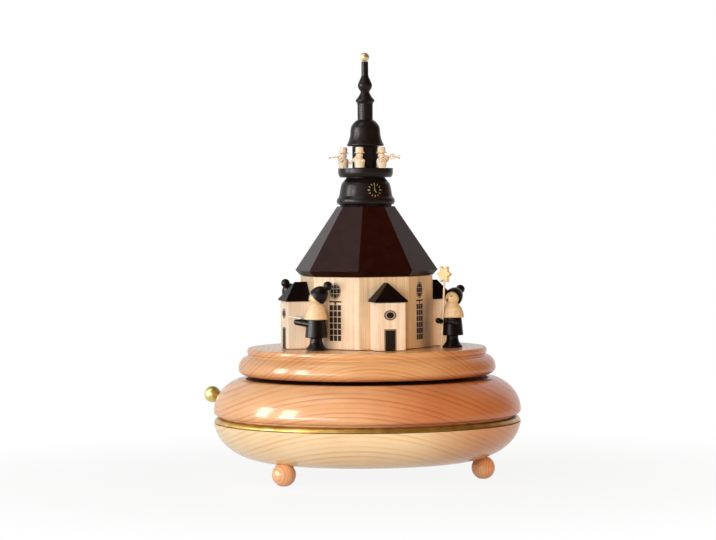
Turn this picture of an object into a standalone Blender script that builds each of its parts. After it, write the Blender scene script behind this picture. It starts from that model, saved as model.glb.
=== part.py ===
"""A turned wooden music box: a round base with its musical movement inside, and a
turntable that carries an octagonal church, its tower musicians and carol singers.

The origin is on the turning axis at the table top, +Z is up, and the porch called
front faces -Y. A heading is an angle from -Y towards +X, seen from above.
"""

import math

import bmesh
import bpy
from mathutils import Matrix, Vector

MM = 0.001

# Gaps between pieces
SEAT_GAP = 0.3 * MM
BEARING_GAP = 0.35 * MM

# Ball feet
FOOT_RADIUS = 7.6 * MM
FOOT_FLAT_RADIUS = 2.4 * MM
FOOT_SINK = 3.2 * MM
FOOT_SEAT_DEPTH = 2.4 * MM
FOOT_FROM_OPENING = 14.6 * MM
FOOT_HEADINGS = {"foot_front_left": -60.0, "foot_front_right": 60.0, "foot_rear": 180.0}
DOWEL_RADIUS = 2.0 * MM
DOWEL_LENGTH = 4.6 * MM

# Base, in two turned halves with a gold band between them
BASE_RADIUS = 99.8 * MM
BASE_SEGMENTS = 40
LOWER_HEIGHT = 24.7 * MM
LOWER_CURVE_OVERSHOOT = 2.2 * MM
FLAT_WIDTH = 2.2 * MM
BAND_GROOVE_HEIGHT = 5.0 * MM
BAND_GROOVE_DEPTH = 4.8 * MM
BAND_BEAD_HEIGHT = 3.4 * MM
UPPER_HEIGHT = 23.3 * MM
UPPER_EDGE_HEIGHT = 2.7 * MM
UPPER_EDGE_WIDTH = 2.5 * MM
UPPER_CURVE_OVERSHOOT = 1.9 * MM
UPPER_CURVE_WIDTH = 26.6 * MM
BASE_WALL = 16.8 * MM
DECK_THICKNESS = 6.0 * MM
FLOOR_THICKNESS = 9.4 * MM
COVER_THICKNESS = 4.7 * MM
COVER_LEDGE_WIDTH = 4.5 * MM
COVER_HOLE_RADIUS = 4.2 * MM

# Turntable
TURNTABLE_CLEARANCE = 2.1 * MM
TURNTABLE_HEIGHT = 17.9 * MM
TURNTABLE_RIM_RADIUS = 77.8 * MM
TURNTABLE_BEAD_RADIUS = 83.6 * MM
TURNTABLE_BEAD_WIDTH = 7.1 * MM
TURNTABLE_BEAD_LOW = 4.5 * MM
TURNTABLE_BEAD_HIGH = 8.4 * MM
RIM_LINE_DEPTH = 0.5 * MM
RIM_EDGE = 0.5 * MM

# Shaft of the turntable
SHAFT_RADIUS = 4.0 * MM
SHAFT_SINK = 12.0 * MM
FLANGE_RADIUS = 14.0 * MM
FLANGE_THICKNESS = 3.5 * MM
BUSH_WALL = 1.8 * MM
BUSH_FLANGE_RADIUS = 9.0 * MM
BUSH_FLANGE_THICKNESS = 1.0 * MM

# Church
CHURCH_SIDES = 8
WALL_CIRCLE_RADIUS = 43.2 * MM
WALL_HEIGHT = 46.1 * MM
EAVE_CIRCLE_RADIUS = 46.6 * MM
FASCIA_HEIGHT = 3.5 * MM
ROOF_HEIGHT = 41.2 * MM
ROOF_TOP_CIRCLE_RADIUS = 18.8 * MM

# Porches, each a quarter turn on from the one before
PORCH_SIDES = ("front", "right", "rear", "left")
PORCH_FRONT_DISTANCE = 55.3 * MM
PORCH_WIDTH = 18.9 * MM
PORCH_WALL_HEIGHT = 30.3 * MM
PORCH_OVERHANG = 1.3 * MM
PORCH_FASCIA = 1.0 * MM
PORCH_ROOF_HEIGHT = 11.2 * MM
PORCH_RIDGE_LENGTH = 8.0 * MM

# Tower
TOWER_SEGMENTS = 20
CLOCK_STOREY_HEIGHT = 18.1 * MM
CLOCK_STOREY_RADIUS = 16.6 * MM
CLOCK_STOREY_COLLAR = 2.3 * MM
CLOCK_STOREY_NECK_RADIUS = 12.6 * MM
BALCONY_RADIUS = 17.8 * MM
BALCONY_THICKNESS = 6.0 * MM
DRUM_RADIUS = 8.6 * MM
DRUM_HEIGHT = 13.6 * MM
DOME_RADIUS = 12.0 * MM
DOME_HEIGHT = 17.0 * MM
LANTERN_RADIUS = 5.0 * MM
LANTERN_HEIGHT = 11.2 * MM
SPIRE_HEIGHT = 26.8 * MM
SPIRE_BULB_RADIUS = 4.65 * MM
SPIRE_TIP_RADIUS = 2.2 * MM
BALL_RADIUS = 2.95 * MM

# Tower musicians
MUSICIAN_HEIGHT = 13.2 * MM
MUSICIAN_RADIUS = 3.3 * MM
MUSICIAN_CIRCLE_RADIUS = 14.3 * MM
MUSICIAN_ARM_RADIUS = 0.75 * MM
BRIM_RADIUS = 3.5 * MM
HORN_TUBE_RADIUS = 0.5 * MM
HORN_BELL_RADIUS = 1.5 * MM
# heading of each musician, heading of the horn, and how far and how high its bell is
MUSICIANS = {
    "horn_player": (-107.0, -110.0, 9.4 * MM, 6.4 * MM),
    "hornist": (-32.0, -100.0, 6.6 * MM, 2.6 * MM),
    "trumpeter": (30.0, 65.0, 11.8 * MM, 6.6 * MM),
}

# Carol singers
FIGURE_SEGMENTS = 12
LEG_HEIGHT = 8.0 * MM
LEG_FOOT_RADIUS = 6.5 * MM
LEG_NECK_RADIUS = 3.9 * MM
COAT_HEIGHT = 11.1 * MM
COAT_HEM_RADIUS = 7.1 * MM
COAT_TOP_RADIUS = 6.0 * MM
CAPE_HEIGHT = 10.1 * MM
CAPE_HEM_RADIUS = 7.6 * MM
CAPE_NECK_RADIUS = 4.2 * MM
HEAD_RADIUS = 4.5 * MM
CAP_RADIUS = 5.8 * MM
CAP_HEIGHT = 8.4 * MM
CAP_RIM_ANGLE = 15.0
CAP_TILT = 37.0
BOBBLE_RADIUS = 2.9 * MM
BOBBLE_DISTANCE = 11.7 * MM
ARM_RADIUS = 1.6 * MM
ARM_REACH = 14.0 * MM
ARM_RISE = 2.2 * MM
HAND_SPREAD = 3.0 * MM
BOOK_WIDTH = 11.0 * MM
BOOK_DEPTH = 8.6 * MM
BOOK_THICKNESS = 0.8 * MM
BOOK_FOLD = 8.0
# heading on the turntable, distance from the axis, heading that the figure looks to
SINGERS = {
    "singer_front": (-56.5, 50.0 * MM, -130.0),
    "singer_left": (-135.0, 56.0 * MM, 135.0),
    "singer_rear": (135.0, 56.0 * MM, 45.0),
}
STAR_BEARER = (53.7, 58.6 * MM, -49.0)
STAR_BEARER_CAP_TILT = 50.0
POLE_REACH = 8.0 * MM
POLE_RADIUS = 0.65 * MM
POLE_LENGTH = 45.0 * MM
POLE_LEAN = 3.0
STAR_RADIUS = 6.2 * MM
STAR_INNER_RADIUS = 3.6 * MM
STAR_THICKNESS = 2.6 * MM
STAR_POINTS = 6
STAR_FACING = -59.0

# Musical movement: bedplate, barrel and winding arbor
BEDPLATE_MARGIN = 1.8 * MM
BEDPLATE_CLEARANCE = 1.1 * MM
BEDPLATE_THICKNESS = 3.0 * MM
POST_WIDTH = 8.0 * MM
POST_THICKNESS = 2.4 * MM
ARBOR_RADIUS = 2.8 * MM
ARBOR_PIVOT_RADIUS = 1.5 * MM
ARBOR_END_RADIUS = 2.1 * MM
ARBOR_END_LENGTH = 6.0 * MM
BARREL_RADIUS = 17.0 * MM
BARREL_HEIGHT = 10.7 * MM
BARREL_WALL = 1.2 * MM
BARREL_TOP = 1.6 * MM
BARREL_BOSS_HEIGHT = 10.0 * MM
SOCKET_DEPTH = 7.0 * MM
MAINSPRING_TURNS = 4
MAINSPRING_STRIP = 0.6 * MM
CLUTCH_SPRING_HEIGHT = 5.4 * MM
CLUTCH_SPRING_WIRE_RADIUS = 0.35 * MM
CLUTCH_SPRING_TURNS = 3

# Musical movement: gear train
CROWN_TEETH = 30
CROWN_PITCH_RADIUS = 15.0 * MM
CROWN_FACE = 2.4 * MM
PINION_TEETH = 10
CYLINDER_RADIUS = 8.5 * MM
CYLINDER_LENGTH = 28.0 * MM
CYLINDER_SHAFT_RADIUS = 1.5 * MM
TRAIN_MODULE = 0.75 * MM
TRAIN_FACE = 2.4 * MM
CYLINDER_GEAR_TEETH = 30
GOVERNOR_PINION_TEETH = 10
GOVERNOR_WHEEL_TEETH = 20
GOVERNOR_WHEEL_RADIUS = 5.5 * MM
GOVERNOR_WHEEL_FACE = 1.2 * MM
GOVERNOR_SHAFT_RADIUS = 0.9 * MM
WORM_RADIUS = 2.2 * MM
WORM_LENGTH = 8.6 * MM
WORM_TOOTH = 0.5 * MM
FAN_SHAFT_RADIUS = 0.8 * MM
FAN_RADIUS = 6.0 * MM
FAN_DISC_THICKNESS = 1.0 * MM
FAN_BLADE_HEIGHT = 4.0 * MM
FAN_BLADE_THICKNESS = 0.8 * MM
FRAME_PLATE = 1.5 * MM
FRAME_HALF_LENGTH = 4.5 * MM
FRAME_INNER_REACH = 4.0 * MM

# Comb
COMB_TEETH = 24
COMB_THICKNESS = 1.4 * MM
COMB_HEEL_WIDTH = 9.0 * MM
COMB_TOOTH_LONGEST = 12.0 * MM
COMB_TOOTH_SHORTEST = 8.0 * MM
COMB_SLOT_WIDTH = 0.35 * MM
COMB_TIP_GAP = 0.4 * MM

# Winding key
KEY_HUB_RADIUS = 4.6 * MM
KEY_WING_WIDTH = 30.0 * MM
KEY_WING_THICKNESS = 2.0 * MM
KEY_FLOOR_GAP = 1.5 * MM

# Stop slide with its gold ball
STOP_HEADING = -120.0
STOP_HEIGHT = 52.7 * MM
STOP_BALL_RADIUS = 5.4 * MM
STOP_BALL_STANDOFF = 5.2 * MM
STOP_BORE_DEPTH = 4.0 * MM
STOP_ROD_RADIUS = 1.5 * MM
STOP_BUSH_WALL = 1.3 * MM

# Heights that follow from the sizes above
foot_centre = math.sqrt(FOOT_RADIUS**2 - FOOT_FLAT_RADIUS**2)
underside = foot_centre + FOOT_RADIUS - FOOT_SINK
lower_top = underside + LOWER_HEIGHT
joint_height = lower_top + BAND_GROOVE_HEIGHT / 2
upper_bottom = lower_top + BAND_GROOVE_HEIGHT
deck_top = upper_bottom + UPPER_HEIGHT
ceiling = deck_top - DECK_THICKNESS
floor_top = underside + FLOOR_THICKNESS
cover_top = underside + COVER_THICKNESS
table_bottom = deck_top + TURNTABLE_CLEARANCE
table_top = table_bottom + TURNTABLE_HEIGHT
stage = table_top + SEAT_GAP
wall_top = stage + WALL_HEIGHT
roof_bottom = wall_top + SEAT_GAP
roof_top = roof_bottom + FASCIA_HEIGHT + ROOF_HEIGHT
clock_bottom = roof_top + SEAT_GAP
balcony_bottom = clock_bottom + CLOCK_STOREY_HEIGHT + SEAT_GAP
balcony_top = balcony_bottom + BALCONY_THICKNESS
drum_bottom = balcony_top + SEAT_GAP
dome_bottom = drum_bottom + DRUM_HEIGHT + SEAT_GAP
spire_top = dome_bottom + DOME_HEIGHT + LANTERN_HEIGHT + SPIRE_HEIGHT
groove_radius = BASE_RADIUS - BAND_GROOVE_DEPTH
cavity_radius = BASE_RADIUS - BASE_WALL
stop_ball_distance = BASE_RADIUS + STOP_BALL_STANDOFF
wall_distance = WALL_CIRCLE_RADIUS * math.cos(math.pi / CHURCH_SIDES)

# Heights and places of the movement, in its own frame with +X along the cylinder
plate_bottom = cover_top + SEAT_GAP
plate_top = plate_bottom + BEDPLATE_THICKNESS
barrel_bottom = plate_top + CLUTCH_SPRING_HEIGHT
barrel_top = barrel_bottom + BARREL_HEIGHT
tooth_module = 2 * CROWN_PITCH_RADIUS / CROWN_TEETH
crown_plane = barrel_top + 1.25 * tooth_module
pinion_radius = tooth_module * PINION_TEETH / 2
axle_height = crown_plane + pinion_radius
gear_radius = TRAIN_MODULE * CYLINDER_GEAR_TEETH / 2
governor_pinion_radius = TRAIN_MODULE * GOVERNOR_PINION_TEETH / 2
inner_post_x = BARREL_RADIUS + 0.6 * MM
cylinder_x = inner_post_x + POST_THICKNESS + 0.6 * MM
gear_x = cylinder_x + CYLINDER_LENGTH + 0.6 * MM
outer_post_x = gear_x + TRAIN_FACE + 0.6 * MM
governor_y = gear_radius + governor_pinion_radius
governor_x = gear_x - 2 * SEAT_GAP - FRAME_HALF_LENGTH - 1.5 * MM
worm_y = governor_y + GOVERNOR_WHEEL_RADIUS + WORM_RADIUS
worm_lead = math.tau * GOVERNOR_WHEEL_RADIUS / GOVERNOR_WHEEL_TEETH
fan_distance = math.hypot(governor_x, worm_y)
bedplate_radius = outer_post_x + POST_THICKNESS + BEDPLATE_MARGIN
ledge_radius = bedplate_radius + BEDPLATE_CLEARANCE
opening_radius = ledge_radius + COVER_LEDGE_WIDTH
foot_distance = opening_radius + FOOT_FROM_OPENING
movement_turn = STOP_HEADING - 90.0 - math.degrees(math.atan2(worm_y, governor_x))

# Finishes: colour, roughness, metallic
LACQUERED_WOOD = ((0.76, 0.44, 0.19), 0.22, 0.0)
LIMEWOOD = ((0.82, 0.66, 0.42), 0.5, 0.0)
DARK_ROOF = ((0.045, 0.012, 0.007), 0.35, 0.0)
DARK_STAIN = ((0.025, 0.016, 0.013), 0.35, 0.0)
GOLD = ((0.60, 0.40, 0.10), 0.3, 1.0)
STAR_YELLOW = ((0.93, 0.75, 0.38), 0.5, 0.0)
BRASS = ((0.72, 0.50, 0.20), 0.3, 1.0)
STEEL = ((0.50, 0.50, 0.52), 0.3, 1.0)
SPRING_STEEL = ((0.16, 0.18, 0.24), 0.35, 1.0)
PLYWOOD = ((0.60, 0.42, 0.24), 0.7, 0.0)
WHITE_PAPER = ((0.80, 0.78, 0.72), 0.7, 0.0)


def clear_scene():
    for thing in list(bpy.data.objects):
        bpy.data.objects.remove(thing, do_unlink=True)


def along(heading, distance, height=0.0):
    """The point at a heading from -Y towards +X."""
    angle = math.radians(heading)
    return Vector((distance * math.sin(angle), -distance * math.cos(angle), height))


def arc(centre, semi_radius, semi_height, start, end, steps):
    """Points of an elliptic arc in (radius, height), its angles measured from +radius."""
    points = []
    for step in range(steps + 1):
        angle = math.radians(start + (end - start) * step / steps)
        points.append(
            (
                centre[0] + semi_radius * math.cos(angle),
                centre[1] + semi_height * math.sin(angle),
            )
        )
    return points


def turned(outline, segments, turn=0.0):
    """Spin an outline of (radius, height), run down its outer side, about Z."""
    shape = bmesh.new()
    verts = [shape.verts.new((radius, 0.0, height)) for radius, height in outline]
    edges = [shape.edges.new(pair) for pair in zip(verts, verts[1:])]
    if outline[0][0] > 0.0:
        edges.append(shape.edges.new((verts[-1], verts[0])))
    bmesh.ops.spin(
        shape,
        geom=verts + edges,
        cent=(0.0, 0.0, 0.0),
        axis=(0.0, 0.0, 1.0),
        angle=math.tau,
        steps=segments,
        use_merge=True,
    )
    bmesh.ops.remove_doubles(shape, verts=shape.verts, dist=1e-7)
    bmesh.ops.recalc_face_normals(shape, faces=shape.faces)
    bmesh.ops.rotate(shape, verts=shape.verts, matrix=Matrix.Rotation(math.radians(turn), 3, "Z"))
    return shape


def box(low, high):
    """A block between two corners."""
    shape = bmesh.new()
    bmesh.ops.create_cube(shape, size=1.0)
    low, high = Vector(low), Vector(high)
    bmesh.ops.scale(shape, verts=shape.verts, vec=high - low)
    bmesh.ops.translate(shape, verts=shape.verts, vec=(low + high) / 2)
    return shape


def rod(radius, start, end, segments, end_radius=None):
    """A round bar or a cone between two points."""
    start, end = Vector(start), Vector(end)
    run = end - start
    shape = bmesh.new()
    bmesh.ops.create_cone(
        shape,
        cap_ends=True,
        segments=segments,
        radius1=radius,
        radius2=radius if end_radius is None else end_radius,
        depth=run.length,
        matrix=Matrix.Translation((start + end) / 2)
        @ run.to_track_quat("Z", "X").to_matrix().to_4x4(),
    )
    return shape


def prism(points, low, high):
    """A flat outline in X and Y, drawn up from one height to another."""
    shape = bmesh.new()
    face = shape.faces.new([shape.verts.new((x, y, low)) for x, y in points])
    drawn = bmesh.ops.extrude_face_region(shape, geom=[face])
    top = [item for item in drawn["geom"] if isinstance(item, bmesh.types.BMVert)]
    bmesh.ops.translate(shape, verts=top, vec=(0.0, 0.0, high - low))
    bmesh.ops.recalc_face_normals(shape, faces=shape.faces)
    return shape


def hull(points):
    """The convex solid round a few corner points."""
    shape = bmesh.new()
    for point in points:
        shape.verts.new(point)
    bmesh.ops.convex_hull(shape, input=shape.verts)
    return shape


def moved(shape, matrix):
    bmesh.ops.transform(shape, matrix=matrix, verts=shape.verts)
    return shape


def loose_object(name, shape):
    """A new object that holds the shape."""
    mesh = bpy.data.meshes.new(name)
    shape.to_mesh(mesh)
    shape.free()
    thing = bpy.data.objects.new(name, mesh)
    bpy.context.collection.objects.link(thing)
    return thing


def combined(body, tools, operation="UNION"):
    """Join tools to a body, or cut them from it, one after the other."""
    target = loose_object("body", body)
    helpers = [loose_object("tool", tool) for tool in tools]
    for helper in helpers:
        modifier = target.modifiers.new(operation, "BOOLEAN")
        modifier.operation = operation
        modifier.solver = "EXACT"
        modifier.object = helper
    bpy.context.view_layer.update()
    result = bmesh.new()
    result.from_object(target, bpy.context.evaluated_depsgraph_get())
    for thing in [target] + helpers:
        bpy.data.objects.remove(thing, do_unlink=True)
    return result


def add_part(name, shape, finish, parent=None, matrix=None, smooth=True):
    """A named piece with its own material, placed under its parent."""
    part = loose_object(name, shape)
    material = bpy.data.materials.new(name + "_finish")
    material.use_nodes = True
    shader = material.node_tree.nodes["Principled BSDF"]
    colour, roughness, metallic = finish
    shader.inputs["Base Color"].default_value = (*colour, 1.0)
    shader.inputs["Roughness"].default_value = roughness
    shader.inputs["Metallic"].default_value = metallic
    part.data.materials.append(material)
    if smooth:
        part.data.shade_smooth()
        part.data.set_sharp_from_angle(angle=math.radians(35.0))
    part.parent = parent
    if matrix is not None:
        part.matrix_local = matrix
    return part


def add_empty(name, matrix, parent=None):
    """An empty that carries pieces, on their joint's axis where they move."""
    empty = bpy.data.objects.new(name, None)
    empty.empty_display_size = 10.0 * MM
    bpy.context.collection.objects.link(empty)
    empty.parent = parent
    empty.matrix_local = matrix
    return empty


def turn_about_z(degrees):
    return Matrix.Rotation(math.radians(degrees), 4, "Z")


def lie_along_x():
    """Lay a piece that was turned about Z with its axis along +X."""
    return Matrix.Rotation(math.radians(90.0), 4, "Y")


# Base

def add_feet():
    """Turned ball feet, each flat where it stands and dowelled into the underside."""
    seat = underside + FOOT_SEAT_DEPTH - SEAT_GAP
    seat_angle = math.degrees(math.asin((seat - foot_centre) / FOOT_RADIUS))
    flat_angle = -math.degrees(math.acos(FOOT_FLAT_RADIUS / FOOT_RADIUS))
    ball = arc((0.0, foot_centre), FOOT_RADIUS, FOOT_RADIUS, seat_angle, flat_angle, 6)
    dowel_top = seat + DOWEL_LENGTH
    outline = [(0.0, dowel_top), (DOWEL_RADIUS, dowel_top), (DOWEL_RADIUS, seat)]
    outline += ball + [(0.0, 0.0)]
    for name, heading in FOOT_HEADINGS.items():
        place = Matrix.Translation(along(heading, foot_distance))
        add_part(name, turned(outline, 12), LACQUERED_WOOD, matrix=place)


def add_base_lower():
    """The lower half of the base: a turned bowl, open in the middle of its floor."""
    semi_height = LOWER_HEIGHT + LOWER_CURVE_OVERSHOOT
    flat_radius = opening_radius + FLAT_WIDTH
    centre = (flat_radius, underside + semi_height)
    start = -math.degrees(math.asin(LOWER_CURVE_OVERSHOOT / semi_height))
    lip = joint_height - SEAT_GAP / 2
    outline = [(groove_radius, lip), (groove_radius, lower_top)]
    outline += arc(centre, BASE_RADIUS - flat_radius, semi_height, start, -90.0, 7)
    outline += [
        (opening_radius, underside),
        (opening_radius, cover_top + SEAT_GAP),
        (ledge_radius, cover_top + SEAT_GAP),
        (ledge_radius, floor_top),
        (cavity_radius, floor_top),
        (cavity_radius, lip),
    ]
    reach = math.sqrt(FOOT_RADIUS**2 - (underside - foot_centre) ** 2)
    seat = underside + FOOT_SEAT_DEPTH
    cuts = []
    for heading in FOOT_HEADINGS.values():
        low = along(heading, foot_distance)
        hole_top = Vector((0.0, 0.0, seat + DOWEL_LENGTH + SEAT_GAP))
        cuts.append(rod(reach + SEAT_GAP, low, low + Vector((0.0, 0.0, seat)), 12))
        cuts.append(rod(DOWEL_RADIUS + SEAT_GAP, low, low + hole_top, 8))
    body = combined(turned(outline, BASE_SEGMENTS), cuts, "DIFFERENCE")
    add_part("base_lower", body, LACQUERED_WOOD)


def add_gold_band():
    """The gilt bead that fills the lower part of the groove between the halves."""
    bottom = lower_top + SEAT_GAP
    top = bottom + BAND_BEAD_HEIGHT
    inner = groove_radius + SEAT_GAP
    bead = arc((inner, bottom), BASE_RADIUS - SEAT_GAP - inner, top - bottom, 78.0, 12.0, 4)
    outline = [(inner, top)] + bead + [(BASE_RADIUS - 3 * SEAT_GAP, bottom), (inner, bottom)]
    add_part("gold_band", turned(outline, BASE_SEGMENTS), GOLD)


def add_base_upper():
    """The upper half of the base: a turned shell whose top is the deck."""
    edge_top = upper_bottom + UPPER_EDGE_HEIGHT
    edge_centre = (BASE_RADIUS - UPPER_EDGE_WIDTH, edge_top)
    semi_height = deck_top - edge_top + UPPER_CURVE_OVERSHOOT
    centre = (BASE_RADIUS - UPPER_CURVE_WIDTH, edge_top)
    deck_angle = math.degrees(math.asin((deck_top - edge_top) / semi_height))
    bore = SHAFT_RADIUS + BEARING_GAP + BUSH_WALL + SEAT_GAP
    lip = joint_height + SEAT_GAP / 2
    outline = [(bore, deck_top)]
    outline += arc(centre, UPPER_CURVE_WIDTH, semi_height, deck_angle, 0.0, 6)
    outline += arc(edge_centre, UPPER_EDGE_WIDTH, UPPER_EDGE_HEIGHT, 0.0, -90.0, 3)[1:]
    outline += [
        (groove_radius, upper_bottom),
        (groove_radius, lip),
        (cavity_radius, lip),
        (cavity_radius, ceiling),
        (bore, ceiling),
    ]
    hole_radius = STOP_ROD_RADIUS + BEARING_GAP + STOP_BUSH_WALL + SEAT_GAP
    inner = along(STOP_HEADING, cavity_radius - UPPER_EDGE_WIDTH, STOP_HEIGHT)
    outer = along(STOP_HEADING, BASE_RADIUS + UPPER_EDGE_WIDTH, STOP_HEIGHT)
    hole = rod(hole_radius, inner, outer, 12)
    body = combined(turned(outline, BASE_SEGMENTS), [hole], "DIFFERENCE")
    add_part("base_upper", body, LACQUERED_WOOD)


def add_bottom_cover():
    """The plywood disc that closes the floor, with a hole for the winding arbor."""
    rim = opening_radius - SEAT_GAP
    outline = [
        (COVER_HOLE_RADIUS, cover_top),
        (rim, cover_top),
        (rim, underside),
        (COVER_HOLE_RADIUS, underside),
    ]
    add_part("bottom_cover", turned(outline, BASE_SEGMENTS), PLYWOOD)


def add_deck_bush():
    """The brass bush in the deck that the turntable's shaft turns in."""
    inner = SHAFT_RADIUS + BEARING_GAP
    outer = inner + BUSH_WALL
    flange_bottom = deck_top + SEAT_GAP
    flange_top = flange_bottom + BUSH_FLANGE_THICKNESS
    outline = [
        (inner, flange_top),
        (BUSH_FLANGE_RADIUS, flange_top),
        (BUSH_FLANGE_RADIUS, flange_bottom),
        (outer, flange_bottom),
        (outer, ceiling),
        (inner, ceiling),
    ]
    add_part("deck_bush", turned(outline, 20), BRASS)


# Turntable and its drive

def add_turntable(body):
    """The turned disc that carries the church and the figures."""
    bead_height = table_bottom + TURNTABLE_BEAD_LOW
    centre = (TURNTABLE_BEAD_RADIUS - TURNTABLE_BEAD_WIDTH, bead_height)
    line = bead_height + TURNTABLE_BEAD_HIGH
    outline = [(0.0, table_top), (TURNTABLE_RIM_RADIUS - RIM_EDGE, table_top)]
    outline += [
        (TURNTABLE_RIM_RADIUS, table_top - RIM_EDGE),
        (TURNTABLE_RIM_RADIUS, line + 2 * RIM_LINE_DEPTH),
        (TURNTABLE_RIM_RADIUS - RIM_LINE_DEPTH, line + RIM_LINE_DEPTH),
    ]
    outline += arc(centre, TURNTABLE_BEAD_WIDTH, TURNTABLE_BEAD_HIGH, 75.0, 0.0, 4)
    outline += arc(centre, TURNTABLE_BEAD_WIDTH, TURNTABLE_BEAD_LOW, 0.0, -80.0, 3)[1:]
    recess = FLANGE_RADIUS + SEAT_GAP
    recess_top = table_bottom + FLANGE_THICKNESS + 2 * SEAT_GAP
    bore = SHAFT_RADIUS + SEAT_GAP
    bore_top = table_bottom + SHAFT_SINK + SEAT_GAP
    outline += [
        (recess, table_bottom),
        (recess, recess_top),
        (bore, recess_top),
        (bore, bore_top),
        (0.0, bore_top),
    ]
    add_part("turntable", turned(outline, BASE_SEGMENTS), LACQUERED_WOOD, body)


def add_turntable_shaft(body):
    """The steel shaft from the barrel up into the turntable, with its flange."""
    flange_bottom = table_bottom + SEAT_GAP
    flange_top = flange_bottom + FLANGE_THICKNESS
    top = table_bottom + SHAFT_SINK
    bottom = barrel_top + BARREL_BOSS_HEIGHT - SOCKET_DEPTH + SEAT_GAP
    outline = [
        (0.0, top),
        (SHAFT_RADIUS, top),
        (SHAFT_RADIUS, flange_top),
        (FLANGE_RADIUS, flange_top),
        (FLANGE_RADIUS, flange_bottom),
        (SHAFT_RADIUS, flange_bottom),
        (SHAFT_RADIUS, bottom),
        (0.0, bottom),
    ]
    add_part("turntable_shaft", turned(outline, 20), STEEL, body)


def crown_ring():
    """A ring of teeth that stand up round the edge of the barrel's top."""
    tip = crown_plane + 0.75 * tooth_module
    root = crown_plane - 1.1 * tooth_module
    pitch = math.tau / CROWN_TEETH
    # each tooth's flanks as shares of the pitch, from its own middle
    flank = [(-0.19, root), (-0.09, tip), (0.09, tip), (0.19, root)]
    inner = CROWN_PITCH_RADIUS - CROWN_FACE / 2
    outer = CROWN_PITCH_RADIUS + CROWN_FACE / 2
    shape = bmesh.new()
    loops = {"inner_low": [], "inner_high": [], "outer_high": [], "outer_low": []}
    for tooth in range(CROWN_TEETH):
        for share, height in flank:
            angle = (tooth + 0.5 + share) * pitch
            across = Vector((math.cos(angle), math.sin(angle), 0.0))
            low = Vector((0.0, 0.0, barrel_top - BARREL_TOP / 2))
            high = Vector((0.0, 0.0, height))
            loops["inner_low"].append(shape.verts.new(across * inner + low))
            loops["inner_high"].append(shape.verts.new(across * inner + high))
            loops["outer_high"].append(shape.verts.new(across * outer + high))
            loops["outer_low"].append(shape.verts.new(across * outer + low))
    rings = list(loops.values())
    count = len(rings[0])
    for ring, following in zip(rings, rings[1:] + rings[:1]):
        for step in range(count):
            after = (step + 1) % count
            shape.faces.new((ring[step], ring[after], following[after], following[step]))
    bmesh.ops.recalc_face_normals(shape, faces=shape.faces)
    return shape


def add_barrel(body):
    """The mainspring barrel: a cup, open below, with crown teeth and a boss on top."""
    bore = SHAFT_RADIUS + SEAT_GAP
    boss_top = barrel_top + BARREL_BOSS_HEIGHT
    socket_bottom = boss_top - SOCKET_DEPTH
    pivot_bore = ARBOR_PIVOT_RADIUS + BEARING_GAP
    cup_top = barrel_top - BARREL_TOP
    cup_radius = BARREL_RADIUS - BARREL_WALL
    outline = [
        (0.0, socket_bottom),
        (bore, socket_bottom),
        (bore, boss_top),
        (bore + 2.7 * MM, boss_top),
        (bore + 2.7 * MM, barrel_top),
        (BARREL_RADIUS, barrel_top),
        (BARREL_RADIUS, barrel_bottom),
        (cup_radius, barrel_bottom),
        (cup_radius, cup_top),
        (pivot_bore, cup_top),
        (pivot_bore, barrel_top + 1.3 * MM),
        (0.0, barrel_top + 1.3 * MM),
    ]
    shape = combined(turned(outline, 24), [crown_ring()])
    add_part("mainspring_barrel", shape, BRASS, body, turn_about_z(movement_turn))


def add_mainspring(body):
    """The mainspring, a spiral of steel strip in the barrel."""
    outer = BARREL_RADIUS - BARREL_WALL - SEAT_GAP - MAINSPRING_STRIP
    inner = ARBOR_RADIUS + SEAT_GAP
    steps = 12 * MAINSPRING_TURNS
    outside, inside = [], []
    for step in range(steps + 1):
        angle = math.tau * MAINSPRING_TURNS * step / steps
        radius = inner + (outer - inner) * step / steps
        inside.append((radius * math.cos(angle), radius * math.sin(angle)))
        radius += MAINSPRING_STRIP
        outside.append((radius * math.cos(angle), radius * math.sin(angle)))
    low = barrel_bottom + 2 * SEAT_GAP
    high = barrel_top - BARREL_TOP - SEAT_GAP
    shape = prism(outside + inside[::-1], low, high)
    add_part("mainspring", shape, SPRING_STEEL, body)


# Church

def eight_sided(outline):
    """An octagon with a flat side towards -Y."""
    return turned(outline, CHURCH_SIDES, 180.0 / CHURCH_SIDES)


def add_church(body):
    """The church's octagonal walls and its steep roof."""
    walls = [
        (0.0, wall_top),
        (WALL_CIRCLE_RADIUS, wall_top),
        (WALL_CIRCLE_RADIUS, stage),
        (0.0, stage),
    ]
    add_part("church_walls", eight_sided(walls), LIMEWOOD, body, smooth=False)
    roof = [
        (0.0, roof_top),
        (ROOF_TOP_CIRCLE_RADIUS, roof_top),
        (EAVE_CIRCLE_RADIUS, roof_bottom + FASCIA_HEIGHT),
        (WALL_CIRCLE_RADIUS, roof_bottom),
        (0.0, roof_bottom),
    ]
    add_part("church_roof", eight_sided(roof), DARK_ROOF, body, smooth=False)


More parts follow.
